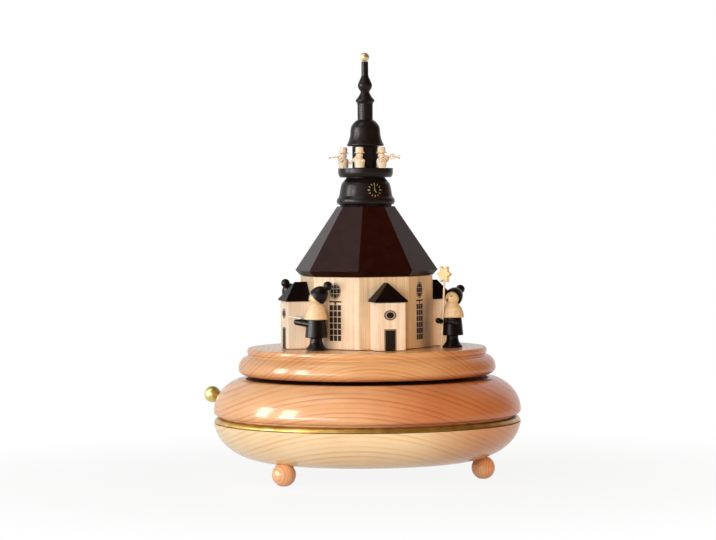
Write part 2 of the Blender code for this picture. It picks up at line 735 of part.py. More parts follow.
def add_porches(body):
    """A small porch with a hipped roof against each of four walls."""
    near = wall_distance + SEAT_GAP
    eaves = stage + PORCH_WALL_HEIGHT
    half = PORCH_WIDTH / 2
    roof_low = eaves + SEAT_GAP
    ridge = roof_low + PORCH_FASCIA + PORCH_ROOF_HEIGHT
    wide = half + PORCH_OVERHANG
    front = PORCH_FRONT_DISTANCE + PORCH_OVERHANG
    corners = []
    for height in (roof_low, roof_low + PORCH_FASCIA):
        for across in (-wide, wide):
            corners += [(across, -near, height), (across, -front, height)]
    corners += [(0.0, -near, ridge), (0.0, -near - PORCH_RIDGE_LENGTH, ridge)]
    for index, side in enumerate(PORCH_SIDES):
        walls = box((-half, -PORCH_FRONT_DISTANCE, stage), (half, -near, eaves))
        place = turn_about_z(360.0 * index / len(PORCH_SIDES))
        add_part("porch_" + side, walls, LIMEWOOD, body, place, smooth=False)
        add_part("porch_roof_" + side, hull(corners), DARK_ROOF, body, place, smooth=False)


# Tower

def add_clock_storey(body):
    """The bell-shaped foot of the tower, where the clock face is."""
    base = CLOCK_STOREY_RADIUS
    neck = CLOCK_STOREY_NECK_RADIUS
    span = CLOCK_STOREY_HEIGHT
    outline = [
        (0.0, clock_bottom + span),
        (neck, clock_bottom + span),
        (neck + 0.15 * (base - neck), clock_bottom + 0.96 * span),
        (neck + 0.48 * (base - neck), clock_bottom + 0.875 * span),
        (neck + 0.78 * (base - neck), clock_bottom + 0.78 * span),
        (base, clock_bottom + 0.53 * span),
        (base + 0.35 * CLOCK_STOREY_COLLAR, clock_bottom + 0.34 * span),
        (base + CLOCK_STOREY_COLLAR, clock_bottom + 0.17 * span),
        (base + 0.4 * CLOCK_STOREY_COLLAR, clock_bottom + 0.09 * span),
        (base, clock_bottom),
        (0.0, clock_bottom),
    ]
    add_part("clock_storey", turned(outline, TOWER_SEGMENTS), DARK_STAIN, body)


def add_balcony(body):
    """The round gallery for the tower musicians."""
    centre = (BALCONY_RADIUS - BALCONY_THICKNESS * 0.5, balcony_bottom + BALCONY_THICKNESS * 0.7)
    outline = [(0.0, balcony_top), (BALCONY_RADIUS, balcony_top)]
    outline += arc(centre, BALCONY_THICKNESS * 0.5, BALCONY_THICKNESS * 0.7, 0.0, -90.0, 4)
    outline += [(0.0, balcony_bottom)]
    add_part("balcony", turned(outline, TOWER_SEGMENTS), DARK_STAIN, body)


def add_tower_top(body):
    """The drum behind the musicians, and the dome, lantern and spire over it."""
    drum_top = drum_bottom + DRUM_HEIGHT
    drum = [(0.0, drum_top), (DRUM_RADIUS, drum_top), (DRUM_RADIUS, drum_bottom), (0.0, drum_bottom)]
    add_part("tower_drum", turned(drum, TOWER_SEGMENTS), DARK_STAIN, body)
    lantern = dome_bottom + DOME_HEIGHT
    spire = lantern + LANTERN_HEIGHT
    outline = [
        (0.0, spire_top),
        (SPIRE_TIP_RADIUS, spire_top),
        (SPIRE_TIP_RADIUS, spire + 0.69 * SPIRE_HEIGHT),
        (0.75 * SPIRE_BULB_RADIUS, spire + 0.56 * SPIRE_HEIGHT),
        (0.97 * SPIRE_BULB_RADIUS, spire + 0.46 * SPIRE_HEIGHT),
        (SPIRE_BULB_RADIUS, spire + 0.41 * SPIRE_HEIGHT),
        (0.86 * SPIRE_BULB_RADIUS, spire + 0.34 * SPIRE_HEIGHT),
        (0.62 * SPIRE_BULB_RADIUS, spire + 0.27 * SPIRE_HEIGHT),
        (1.24 * LANTERN_RADIUS, spire + 0.06 * SPIRE_HEIGHT),
        (1.24 * LANTERN_RADIUS, spire + 0.03 * SPIRE_HEIGHT),
        (LANTERN_RADIUS, spire),
        (LANTERN_RADIUS, lantern),
        (0.68 * DOME_RADIUS, dome_bottom + 0.84 * DOME_HEIGHT),
        (0.78 * DOME_RADIUS, dome_bottom + 0.74 * DOME_HEIGHT),
        (0.82 * DOME_RADIUS, dome_bottom + 0.45 * DOME_HEIGHT),
        (0.89 * DOME_RADIUS, dome_bottom + 0.23 * DOME_HEIGHT),
        (DOME_RADIUS, dome_bottom + 0.06 * DOME_HEIGHT),
        (0.93 * DOME_RADIUS, dome_bottom),
        (0.0, dome_bottom),
    ]
    add_part("tower_cap", turned(outline, 16), DARK_STAIN, body)


def add_gold_ball(body):
    """The gilt ball on the tip of the spire, flat where it sits."""
    centre = spire_top + SEAT_GAP + BALL_RADIUS * math.cos(math.asin(0.6))
    seat_angle = -90.0 + math.degrees(math.asin(0.6))
    outline = arc((0.0, centre), BALL_RADIUS, BALL_RADIUS, 90.0, seat_angle, 8)
    outline[0] = (0.0, centre + BALL_RADIUS)
    outline.append((0.0, spire_top + SEAT_GAP))
    add_part("spire_ball", turned(outline, 14), GOLD, body)


def musician_shape(horn_heading, bell_distance, bell_height):
    """A turned tower musician in a brimmed hat, both arms up to a horn at the mouth."""
    tall = MUSICIAN_HEIGHT
    wide = MUSICIAN_RADIUS
    outline = [
        (0.0, tall),
        (0.7 * wide, tall),
        (0.78 * wide, 0.75 * tall),
        (BRIM_RADIUS, 0.735 * tall),
        (BRIM_RADIUS, 0.7 * tall),
        (0.68 * wide, 0.67 * tall),
        (0.68 * wide, 0.55 * tall),
        (0.5 * wide, 0.48 * tall),
        (0.88 * wide, 0.43 * tall),
        (wide, 0.33 * tall),
        (0.94 * wide, 0.0),
        (0.0, 0.0),
    ]
    mouth = along(horn_heading, 0.5 * wide, 0.58 * tall)
    bell = along(horn_heading, bell_distance, bell_height)
    grip = mouth.lerp(bell, 0.3)
    additions = [rod(HORN_TUBE_RADIUS, mouth, bell, 8, HORN_BELL_RADIUS)]
    for side in (-90.0, 90.0):
        shoulder = along(horn_heading + side, 0.8 * wide, 0.36 * tall)
        additions.append(rod(MUSICIAN_ARM_RADIUS, shoulder, grip, 6))
    return combined(turned(outline, 10), additions)


def add_musicians(body):
    for name, (heading, horn_heading, bell_distance, bell_height) in MUSICIANS.items():
        place = along(heading, MUSICIAN_CIRCLE_RADIUS, balcony_top + SEAT_GAP)
        shape = musician_shape(horn_heading, bell_distance, bell_height)
        add_part(name, shape, LIMEWOOD, body, Matrix.Translation(place))


# Carol singers

def coat_shape(arms):
    """Flared legs and a coat, turned in one piece, with the arms let in."""
    top = LEG_HEIGHT + COAT_HEIGHT
    outline = [
        (0.0, top),
        (COAT_TOP_RADIUS, top),
        (COAT_HEM_RADIUS, LEG_HEIGHT),
        (LEG_NECK_RADIUS, LEG_HEIGHT - 0.4 * MM),
        (LEG_NECK_RADIUS, 0.6 * LEG_HEIGHT),
        (0.8 * LEG_FOOT_RADIUS, 0.25 * LEG_HEIGHT),
        (LEG_FOOT_RADIUS, 0.8 * MM),
        (LEG_FOOT_RADIUS, 0.0),
        (0.0, 0.0),
    ]
    return combined(turned(outline, FIGURE_SEGMENTS), arms)


def arm_axis(side):
    """The ends of one arm's axis, from the side of the coat to a hand in front of it."""
    low = LEG_HEIGHT + COAT_HEIGHT - SEAT_GAP - ARM_RADIUS - ARM_RISE / 2
    shoulder = Vector((side * (COAT_TOP_RADIUS - ARM_RADIUS), 0.0, low))
    hand = Vector((side * HAND_SPREAD, -ARM_REACH, low + ARM_RISE))
    return shoulder, hand


def arm(side):
    shoulder, hand = arm_axis(side)
    return rod(ARM_RADIUS, shoulder, hand, 8)


def head_shape():
    """The cape with the head, one light turned piece, from the cape's hem up."""
    centre = CAPE_HEIGHT + 0.71 * HEAD_RADIUS
    outline = arc((0.0, centre), HEAD_RADIUS, HEAD_RADIUS, 90.0, -42.0, 6)
    outline[0] = (0.0, centre + HEAD_RADIUS)
    outline += [
        (CAPE_NECK_RADIUS, CAPE_HEIGHT - 0.3 * MM),
        (0.5 * (CAPE_NECK_RADIUS + CAPE_HEM_RADIUS), 0.72 * CAPE_HEIGHT),
        (0.9 * CAPE_HEM_RADIUS, 0.35 * CAPE_HEIGHT),
        (CAPE_HEM_RADIUS, 0.4 * MM),
        (CAPE_HEM_RADIUS - 0.4 * MM, 0.0),
        (0.0, 0.0),
    ]
    return turned(outline, FIGURE_SEGMENTS), centre


def cap_shape():
    """A domed cap round the back of the head with a bobble, its axis through both."""
    inner = HEAD_RADIUS + SEAT_GAP
    rim = inner * math.sin(math.radians(CAP_RIM_ANGLE))
    outline = arc((0.0, BOBBLE_DISTANCE), BOBBLE_RADIUS, BOBBLE_RADIUS, 90.0, -45.0, 5)
    outline[0] = (0.0, BOBBLE_DISTANCE + BOBBLE_RADIUS)
    outline += arc((0.0, rim), CAP_RADIUS, CAP_HEIGHT, 66.0, 0.0, 5)
    outline += arc((0.0, 0.0), inner, inner, CAP_RIM_ANGLE, 90.0, 3)
    outline[-1] = (0.0, inner)
    return turned(outline, FIGURE_SEGMENTS)


def add_figure(name, place, arms, cap_tilt, body):
    """A coat, a cape with its head, and a cap that leans back with its bobble."""
    add_part(name + "_coat", coat_shape(arms), DARK_STAIN, body, place)
    hem = Matrix.Translation((0.0, 0.0, LEG_HEIGHT + COAT_HEIGHT + SEAT_GAP))
    head, centre = head_shape()
    add_part(name + "_head", head, LIMEWOOD, body, place @ hem)
    lean = Matrix.Rotation(math.radians(-cap_tilt), 4, "X")
    cap_place = place @ hem @ Matrix.Translation((0.0, 0.0, centre)) @ lean
    add_part(name + "_cap", cap_shape(), DARK_STAIN, body, cap_place)


def figure_place(heading, distance, looks_to):
    return Matrix.Translation(along(heading, distance, stage)) @ turn_about_z(looks_to)


def open_book():
    """A thin book that lies open, its two leaves a little raised from the fold."""
    half = BOOK_WIDTH / 2
    rise = half * math.tan(math.radians(BOOK_FOLD))
    points = [(-half, rise), (0.0, 0.0), (half, rise)]
    points += [(across, height + BOOK_THICKNESS) for across, height in reversed(points)]
    return prism(points, 0.0, BOOK_DEPTH)


def add_singers(body):
    """Three singers, each with a song book on its arms."""
    shoulder, hand = arm_axis(1.0)
    slope = math.atan2(ARM_RISE, ARM_REACH)
    back = CAPE_HEM_RADIUS + 2 * SEAT_GAP
    share = back / ARM_REACH
    on_arm = shoulder.lerp(hand, share)
    # the leaves rise towards the arms, so the fold hangs a little lower between them
    fold = on_arm.z + ARM_RADIUS / math.cos(slope) + SEAT_GAP
    fold -= (hand.x - ARM_RADIUS) * math.tan(math.radians(BOOK_FOLD))
    lay = Matrix.Rotation(math.radians(90.0) - slope, 4, "X")
    for name, (heading, distance, looks_to) in SINGERS.items():
        place = figure_place(heading, distance, looks_to)
        add_figure(name, place, [arm(-1.0), arm(1.0)], CAP_TILT, body)
        book_place = place @ Matrix.Translation((0.0, -back, fold)) @ lay
        add_part(name + "_book", open_book(), WHITE_PAPER, body, book_place, smooth=False)


def add_star_bearer(body):
    """The figure that leads the singers, with a star on a pole through one hand."""
    heading, distance, looks_to = STAR_BEARER
    place = figure_place(heading, distance, looks_to)
    shoulder, hand = arm_axis(-1.0)
    grip = shoulder.lerp(hand, POLE_REACH / ARM_REACH)
    foot = Matrix.Translation((grip.x, grip.y, 0.0))
    lean = Matrix.Rotation(math.radians(POLE_LEAN), 4, "Y")
    pole_place = place @ foot @ lean
    hole = moved(rod(POLE_RADIUS + SEAT_GAP, (0, 0, 0), (0, 0, POLE_LENGTH), 8), foot @ lean)
    pierced = combined(arm(-1.0), [hole], "DIFFERENCE")
    add_figure("star_bearer", place, [pierced, arm(1.0)], STAR_BEARER_CAP_TILT, body)
    stick = rod(POLE_RADIUS, (0.0, 0.0, 0.0), (0.0, 0.0, POLE_LENGTH), 8)
    add_part("star_pole", stick, LIMEWOOD, body, pole_place)
    # two points of the star straddle the tip of the pole
    points = []
    for corner in range(2 * STAR_POINTS):
        angle = math.pi * corner / STAR_POINTS
        radius = STAR_RADIUS if corner % 2 else STAR_INNER_RADIUS
        points.append((radius * math.sin(angle), radius * math.cos(angle)))
    star = prism(points, -STAR_THICKNESS / 2, STAR_THICKNESS / 2)
    upright = turn_about_z(STAR_FACING) @ Matrix.Rotation(math.radians(90.0), 4, "X")
    top = pole_place @ Vector((0.0, 0.0, POLE_LENGTH))
    centre = top + Vector((0.0, 0.0, POLE_RADIUS * math.sin(math.radians(POLE_LEAN))))
    centre += Vector((0.0, 0.0, SEAT_GAP + STAR_INNER_RADIUS))
    add_part("star", star, STAR_YELLOW, body, Matrix.Translation(centre) @ upright, smooth=False)


# Musical movement

def gear_outline(teeth, pitch_radius, module, start=0.0, root_share=0.27, tip_share=0.12):
    """Corner points of a gear whose first tooth points along a start angle in degrees."""
    root = pitch_radius - 1.15 * module
    tip = pitch_radius + 0.75 * module
    pitch = math.tau / teeth
    points = []
    for tooth in range(teeth):
        middle = math.radians(start) + tooth * pitch
        for share, radius in (
            (-root_share, root),
            (-tip_share, tip),
            (tip_share, tip),
            (root_share, root),
        ):
            angle = middle + share * pitch
            points.append((radius * math.cos(angle), radius * math.sin(angle)))
    return points


def add_bedplate(movement):
    """The bedplate with its posts for the cylinder and its block for the comb."""
    outline = [
        (ARBOR_RADIUS + BEARING_GAP, plate_top),
        (bedplate_radius, plate_top),
        (bedplate_radius, plate_bottom),
        (ARBOR_RADIUS + BEARING_GAP, plate_bottom),
    ]
    low = plate_bottom + BEDPLATE_THICKNESS / 2
    half = POST_WIDTH / 2
    high = axle_height + half
    additions = []
    for start in (inner_post_x, outer_post_x):
        additions.append(box((start, -half, low), (start + POST_THICKNESS, half, high)))
    heel, _ = comb_edges()
    comb_low = axle_height - COMB_THICKNESS / 2 - SEAT_GAP
    first = cylinder_x + COMB_SLOT_WIDTH
    last = cylinder_x + CYLINDER_LENGTH - COMB_SLOT_WIDTH
    additions.append(box((first, heel, low), (last, heel + COMB_HEEL_WIDTH - SEAT_GAP, comb_low)))
    body = combined(turned(outline, 32), additions)
    bore = CYLINDER_SHAFT_RADIUS + BEARING_GAP
    ends = (inner_post_x - POST_THICKNESS, outer_post_x + 2 * POST_THICKNESS)
    hole = rod(bore, (ends[0], 0.0, axle_height), (ends[1], 0.0, axle_height), 12)
    body = combined(body, [hole], "DIFFERENCE")
    add_part("bedplate", body, BRASS, movement)


def comb_edges():
    """Where the comb's heel starts and its tips end, across the cylinder."""
    tips = -(CYLINDER_RADIUS + COMB_TIP_GAP)
    return tips - COMB_TOOTH_LONGEST - COMB_HEEL_WIDTH, tips


def add_comb(movement):
    """The steel comb: one plate, its teeth longest at the low notes."""
    heel, tips = comb_edges()
    pitch = CYLINDER_LENGTH / COMB_TEETH
    points = [(cylinder_x, heel)]
    for tooth in range(COMB_TEETH):
        share = tooth / (COMB_TEETH - 1)
        length = COMB_TOOTH_LONGEST + share * (COMB_TOOTH_SHORTEST - COMB_TOOTH_LONGEST)
        start = cylinder_x + tooth * pitch
        if tooth:
            points.append((start + COMB_SLOT_WIDTH / 2, tips - length))
            points.append((start + COMB_SLOT_WIDTH / 2, tips))
        else:
            points.append((start, tips))
        if tooth < COMB_TEETH - 1:
            points.append((start + pitch - COMB_SLOT_WIDTH / 2, tips))
            points.append((start + pitch - COMB_SLOT_WIDTH / 2, tips - length))
        else:
            points.append((start + pitch, tips))
    points.append((cylinder_x + CYLINDER_LENGTH, heel))
    low = axle_height - COMB_THICKNESS / 2
    shape = prism(points[::-1], low, low + COMB_THICKNESS)
    add_part("comb", shape, STEEL, movement, smooth=False)


def add_cylinder(axle):
    """The cylinder with its drive pinion and the gear that drives the governor."""
    pinion_x = CROWN_PITCH_RADIUS - CROWN_FACE / 2
    shaft_end = outer_post_x + POST_THICKNESS
    shaft = rod(CYLINDER_SHAFT_RADIUS, (0.0, 0.0, pinion_x - 0.6 * MM), (0.0, 0.0, shaft_end), 12)
    # local X points down once the cylinder lies along the movement's X
    teeth = gear_outline(PINION_TEETH, pinion_radius, tooth_module, 0.0)
    pinion = prism(teeth, pinion_x, pinion_x + CROWN_FACE)
    drum = rod(
        CYLINDER_RADIUS,
        (0.0, 0.0, cylinder_x),
        (0.0, 0.0, cylinder_x + CYLINDER_LENGTH),
        24,
    )
    # a gap, not a tooth, faces the governor's pinion on local Y
    pitch = 360.0 / CYLINDER_GEAR_TEETH
    teeth = gear_outline(CYLINDER_GEAR_TEETH, gear_radius, TRAIN_MODULE, 90.0 + pitch / 2)
    gear = prism(teeth, gear_x, gear_x + TRAIN_FACE)
    add_part("cylinder", combined(shaft, [pinion, drum, gear]), BRASS, axle, lie_along_x())


def add_governor_frame(movement):
    """The bracket with cheeks for the governor wheel and arms for the worm."""
    inner_y = governor_y - FRAME_INNER_REACH
    half = FRAME_HALF_LENGTH
    post_y = worm_y + FAN_RADIUS + SEAT_GAP
    outer_y = post_y + FRAME_PLATE
    foot_low = plate_top + SEAT_GAP
    foot_top = foot_low + FRAME_PLATE
    cheek_top = axle_height + FRAME_INNER_REACH
    worm_low = axle_height - WORM_LENGTH / 2
    arm_top = STOP_HEIGHT + FAN_DISC_THICKNESS + SEAT_GAP + FRAME_PLATE + 1.2 * MM
    cheek_y = governor_y + FRAME_INNER_REACH
    left, right = governor_x - half, governor_x + half
    plate = box((left, inner_y, foot_low), (right, outer_y, foot_top))
    additions = []
    for start in (left, right - FRAME_PLATE):
        additions.append(
            box((start, inner_y, foot_top - FRAME_PLATE / 2), (start + FRAME_PLATE, cheek_y, cheek_top))
        )
    arm_half = 2.0 * MM
    near, far = governor_x - arm_half, governor_x + arm_half
    additions.append(box((near, post_y, foot_top - FRAME_PLATE / 2), (far, outer_y, arm_top)))
    for top in (worm_low - 2 * SEAT_GAP, arm_top - SEAT_GAP):
        start = worm_y - arm_half
        additions.append(box((near, start, top - FRAME_PLATE), (far, post_y + SEAT_GAP, top)))
    body = combined(plate, additions)
    cross = rod(
        GOVERNOR_SHAFT_RADIUS + BEARING_GAP,
        (left - FRAME_PLATE, governor_y, axle_height),
        (right + FRAME_PLATE, governor_y, axle_height),
        10,
    )
    upright = rod(
        FAN_SHAFT_RADIUS + BEARING_GAP,
        (governor_x, worm_y, foot_top + FRAME_PLATE),
        (governor_x, worm_y, arm_top + FRAME_PLATE),
        10,
    )
    body = combined(body, [cross, upright], "DIFFERENCE")
    add_part("governor_frame", body, STEEL, movement)


def add_governor_wheel(axle):
    """The governor's worm wheel and its pinion on one shaft."""
    start = governor_x - FRAME_HALF_LENGTH
    pinion_end = gear_x + TRAIN_FACE + SEAT_GAP
    shaft = rod(GOVERNOR_SHAFT_RADIUS, (0.0, 0.0, start), (0.0, 0.0, pinion_end), 10)
    # a tooth of the pinion faces the cylinder's gear, on local -Y
    teeth = gear_outline(GOVERNOR_PINION_TEETH, governor_pinion_radius, TRAIN_MODULE, -90.0)
    pinion = prism(teeth, gear_x - SEAT_GAP, gear_x + TRAIN_FACE)
    module = 2 * GOVERNOR_WHEEL_RADIUS / GOVERNOR_WHEEL_TEETH
    teeth = gear_outline(GOVERNOR_WHEEL_TEETH, GOVERNOR_WHEEL_RADIUS, module, 90.0, 0.22, 0.1)
    half = GOVERNOR_WHEEL_FACE / 2
    wheel = prism(teeth, governor_x - half, governor_x + half)
    add_part("governor_wheel", combined(shaft, [pinion, wheel]), BRASS, axle, lie_along_x())


def worm_shape():
    """A shaft with a single right-handed thread, made of stacked rings."""
    core = WORM_RADIUS - 1.5 * WORM_TOOTH
    tip = WORM_RADIUS + WORM_TOOTH
    around = 10
    rings = 6 * round(WORM_LENGTH / worm_lead)
    step_height = worm_lead / 6
    start = axle_height - rings * step_height / 2
    shape = bmesh.new()
    levels = []
    for level in range(rings + 1):
        ring = []
        height = start + level * step_height
        for step in range(around):
            angle = math.tau * step / around
            # the thread's crest is half a lead from the wheel's middle, on the side of -Y
            turn = (height - axle_height) / worm_lead - (angle + math.pi / 2) / math.tau - 0.5
            off = abs(turn - round(turn))
            rise = min(1.0, max(0.0, (0.27 - off) / 0.15))
            fade = 0.0 if level in (0, rings) else 1.0
            radius = core + (tip - core) * rise * fade
            ring.append(shape.verts.new((radius * math.cos(angle), radius * math.sin(angle), height)))
        levels.append(ring)
    for low, high in zip(levels, levels[1:]):
        for step in range(around):
            after = (step + 1) % around
            shape.faces.new((low[step], low[after], high[after], high[step]))
    shape.faces.new(levels[0][::-1])
    shape.faces.new(levels[-1])
    return shape


def add_fan(axle):
    """The governor's worm with its air vane and brake disc."""
    disc_low = STOP_HEIGHT - FAN_DISC_THICKNESS / 2
    disc_high = disc_low + FAN_DISC_THICKNESS
    worm_low = axle_height - WORM_LENGTH / 2
    shaft_low = worm_low - 2 * SEAT_GAP - FRAME_PLATE
    shaft_high = disc_high + FRAME_PLATE + 1.2 * MM
    shaft = rod(FAN_SHAFT_RADIUS, (0.0, 0.0, shaft_low), (0.0, 0.0, shaft_high), 10)
    disc = rod(FAN_RADIUS, (0.0, 0.0, disc_low), (0.0, 0.0, disc_high), 16)
    half = FAN_BLADE_THICKNESS / 2
    blade_low = disc_low - FAN_BLADE_HEIGHT
    blades = box(
        (-FAN_RADIUS + SEAT_GAP, -half, blade_low),
        (FAN_RADIUS - SEAT_GAP, half, disc_low + FAN_DISC_THICKNESS / 2),
    )
    add_part("fan_and_worm", combined(shaft, [worm_shape(), disc, blades]), BRASS, axle)


def add_clutch_spring(movement):
    """The wrap spring round the winding arbor that holds it against turning back."""
    mean = ARBOR_RADIUS + BEARING_GAP + CLUTCH_SPRING_WIRE_RADIUS
    bottom = plate_top + SEAT_GAP + CLUTCH_SPRING_WIRE_RADIUS
    rise = CLUTCH_SPRING_HEIGHT - 2 * (SEAT_GAP + CLUTCH_SPRING_WIRE_RADIUS) - SEAT_GAP
    steps = 10 * CLUTCH_SPRING_TURNS
    curve = bpy.data.curves.new("clutch_spring", "CURVE")
    curve.dimensions = "3D"
    curve.bevel_depth = CLUTCH_SPRING_WIRE_RADIUS
    curve.bevel_resolution = 1
    curve.use_fill_caps = True
    spline = curve.splines.new("POLY")
    spline.points.add(steps + 1)
    for step in range(steps + 1):
        angle = math.tau * CLUTCH_SPRING_TURNS * step / steps
        height = bottom + rise * step / steps
        point = (mean * math.cos(angle), mean * math.sin(angle), height, 1.0)
        spline.points[step].co = point
    # the tail runs straight out from the last turn
    spline.points[steps + 1].co = (mean, 3 * mean, bottom + rise, 1.0)
    spring = bpy.data.objects.new("clutch_spring", curve)
    bpy.context.collection.objects.link(spring)
    material = bpy.data.materials.new("clutch_spring_finish")
    material.use_nodes = True
    shader = material.node_tree.nodes["Principled BSDF"]
    colour, roughness, metallic = SPRING_STEEL
    shader.inputs["Base Color"].default_value = (*colour, 1.0)
    shader.inputs["Roughness"].default_value = roughness
    shader.inputs["Metallic"].default_value = metallic
    curve.materials.append(material)
    spring.parent = movement


# Winding key

def add_key(axle):
    """The winding arbor, and the flat wing key on its lower end."""
    key_top = underside - SEAT_GAP
    end_low = underside - ARBOR_END_LENGTH
    shoulder = cover_top - BEARING_GAP
    arbor_top = barrel_top - BARREL_TOP - SEAT_GAP
    pivot_top = barrel_top + 1.3 * MM - SEAT_GAP
    outline = [
        (0.0, pivot_top),
        (ARBOR_PIVOT_RADIUS, pivot_top),
        (ARBOR_PIVOT_RADIUS, arbor_top),
        (ARBOR_RADIUS, arbor_top),
        (ARBOR_RADIUS, shoulder),
        (ARBOR_END_RADIUS, shoulder),
        (ARBOR_END_RADIUS, end_low),
        (0.0, end_low),
    ]
    add_part("winding_arbor", turned(outline, 14), STEEL, axle)
    bore = ARBOR_END_RADIUS + SEAT_GAP
    socket_end = end_low - SEAT_GAP
    hub = [
        (bore, key_top),
        (KEY_HUB_RADIUS, key_top),
        (KEY_HUB_RADIUS, socket_end - SEAT_GAP),
        (0.5 * KEY_HUB_RADIUS, KEY_FLOOR_GAP + 2 * MM),
        (0.0, KEY_FLOOR_GAP + 2 * MM),
    ]
    hub = [(0.0, socket_end), (bore, socket_end)] + hub
    half = KEY_WING_WIDTH / 2
    wing_height = key_top - KEY_FLOOR_GAP - 2.0 * MM
    semi = wing_height / 2
    wings = []
    for side in (-1.0, 1.0):
        middle = side * (half - semi)
        outline = [(side * (bore + 0.6 * MM), KEY_FLOOR_GAP + 0.25 * wing_height)]
        outline += [
            (middle + side * semi * math.sin(math.radians(angle)),
             KEY_FLOOR_GAP + semi - semi * math.cos(math.radians(angle)))
            for angle in range(0, 181, 30)
        ]
        outline.append((side * (bore + 0.6 * MM), KEY_FLOOR_GAP + 0.75 * wing_height))
        if side < 0.0:
            outline.reverse()
        wing = prism(outline, -KEY_WING_THICKNESS / 2, KEY_WING_THICKNESS / 2)
        wings.append(moved(wing, Matrix.Rotation(math.radians(90.0), 4, "X")))
    add_part("winding_key", combined(turned(hub, 16), wings), BRASS, axle)


# Stop slide

def add_stop(slide, bush_parent):
    """The rod that halts the fan, its gold ball, and the bush that guides it."""
    rod_start = fan_distance + FAN_RADIUS + SEAT_GAP
    ball_bore = STOP_ROD_RADIUS + SEAT_GAP
    mouth = math.sqrt(STOP_BALL_RADIUS**2 - (1.6 * ball_bore) ** 2)
    rod_end = stop_ball_distance - mouth + STOP_BORE_DEPTH
    stem = rod(STOP_ROD_RADIUS, (0.0, 0.0, rod_start), (0.0, 0.0, rod_end), 12)
    add_part("stop_rod", stem, BRASS, slide, lie_along_x())
    mouth_angle = -math.degrees(math.acos(1.6 * ball_bore / STOP_BALL_RADIUS))
    centre = (0.0, stop_ball_distance)
    outline = arc(centre, STOP_BALL_RADIUS, STOP_BALL_RADIUS, 90.0, mouth_angle, 8)
    outline[0] = (0.0, stop_ball_distance + STOP_BALL_RADIUS)
    outline += [
        (ball_bore, stop_ball_distance - mouth),
        (ball_bore, rod_end + SEAT_GAP),
        (0.0, rod_end + SEAT_GAP),
    ]
    add_part("stop_knob", turned(outline, 16), GOLD, slide, lie_along_x())
    inner = STOP_ROD_RADIUS + BEARING_GAP
    outer = inner + STOP_BUSH_WALL
    start = cavity_radius - SEAT_GAP
    end = BASE_RADIUS - UPPER_EDGE_WIDTH
    bush = [(inner, end), (outer, end), (outer, start), (inner, start)]
    add_part("stop_bush", turned(bush, 12), BRASS, bush_parent, lie_along_x())


def build():
    clear_scene()
    add_feet()
    add_base_lower()
    add_gold_band()
    add_base_upper()
    add_bottom_cover()
    add_deck_bush()

    turning = add_empty("turntable_axis", Matrix.Identity(4))
    add_turntable(turning)
    add_turntable_shaft(turning)
    add_barrel(turning)
    add_mainspring(turning)
    add_church(turning)
    add_porches(turning)
    add_clock_storey(turning)
    add_balcony(turning)
    add_tower_top(turning)
    add_gold_ball(turning)
    add_musicians(turning)
    add_singers(turning)
    add_star_bearer(turning)

    movement = add_empty("movement", turn_about_z(movement_turn))
    add_bedplate(movement)
    add_comb(movement)
    add_governor_frame(movement)
    add_clutch_spring(movement)
    level = Matrix.Translation((0.0, 0.0, axle_height))
    cylinder_axis = add_empty("cylinder_axis", level, movement)
    add_cylinder(cylinder_axis)
    beside = Matrix.Translation((0.0, governor_y, axle_height))
    governor_axis = add_empty("governor_axis", beside, movement)
    add_governor_wheel(governor_axis)
    upright = Matrix.Translation((governor_x, worm_y, 0.0))
    fan_axis = add_empty("fan_axis", upright, movement)
    add_fan(fan_axis)

    key_axis = add_empty("key_axis", Matrix.Identity(4))
    add_key(key_axis)

    stop_line = Matrix.Translation((0.0, 0.0, STOP_HEIGHT)) @ turn_about_z(STOP_HEADING - 90.0)
    stop_slide = add_empty("stop_slide_axis", stop_line)
    stop_guide = add_empty("stop_guide", stop_line)
    add_stop(stop_slide, stop_guide)


build()
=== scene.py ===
"""The looks of a turned wooden music box whose turntable carries a small church, its
tower musicians and carol singers. Metres, the frame's own axes.

A heading is an angle from -Y towards +X, seen from above.
"""

import math

import bmesh
import bpy
from mathutils import Matrix, Vector


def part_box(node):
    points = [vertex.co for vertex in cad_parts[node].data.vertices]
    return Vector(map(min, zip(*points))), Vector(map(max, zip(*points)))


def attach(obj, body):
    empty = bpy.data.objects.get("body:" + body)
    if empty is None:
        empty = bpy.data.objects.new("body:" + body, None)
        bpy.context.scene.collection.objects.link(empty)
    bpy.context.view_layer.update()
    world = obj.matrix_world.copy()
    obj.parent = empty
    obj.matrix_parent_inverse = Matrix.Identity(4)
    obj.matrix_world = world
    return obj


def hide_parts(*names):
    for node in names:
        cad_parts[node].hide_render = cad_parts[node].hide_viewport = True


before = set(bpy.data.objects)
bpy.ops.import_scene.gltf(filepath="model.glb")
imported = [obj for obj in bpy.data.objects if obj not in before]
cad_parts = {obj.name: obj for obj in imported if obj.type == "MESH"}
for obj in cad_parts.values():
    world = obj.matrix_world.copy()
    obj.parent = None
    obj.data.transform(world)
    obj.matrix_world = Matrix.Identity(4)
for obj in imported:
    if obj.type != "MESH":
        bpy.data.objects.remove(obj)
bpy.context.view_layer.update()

# Ball feet
# Three balls of clear lacquered alder, turned with a short dowel and flat where they stand.
# Each is glued into a shallow seat in the underside of the base.

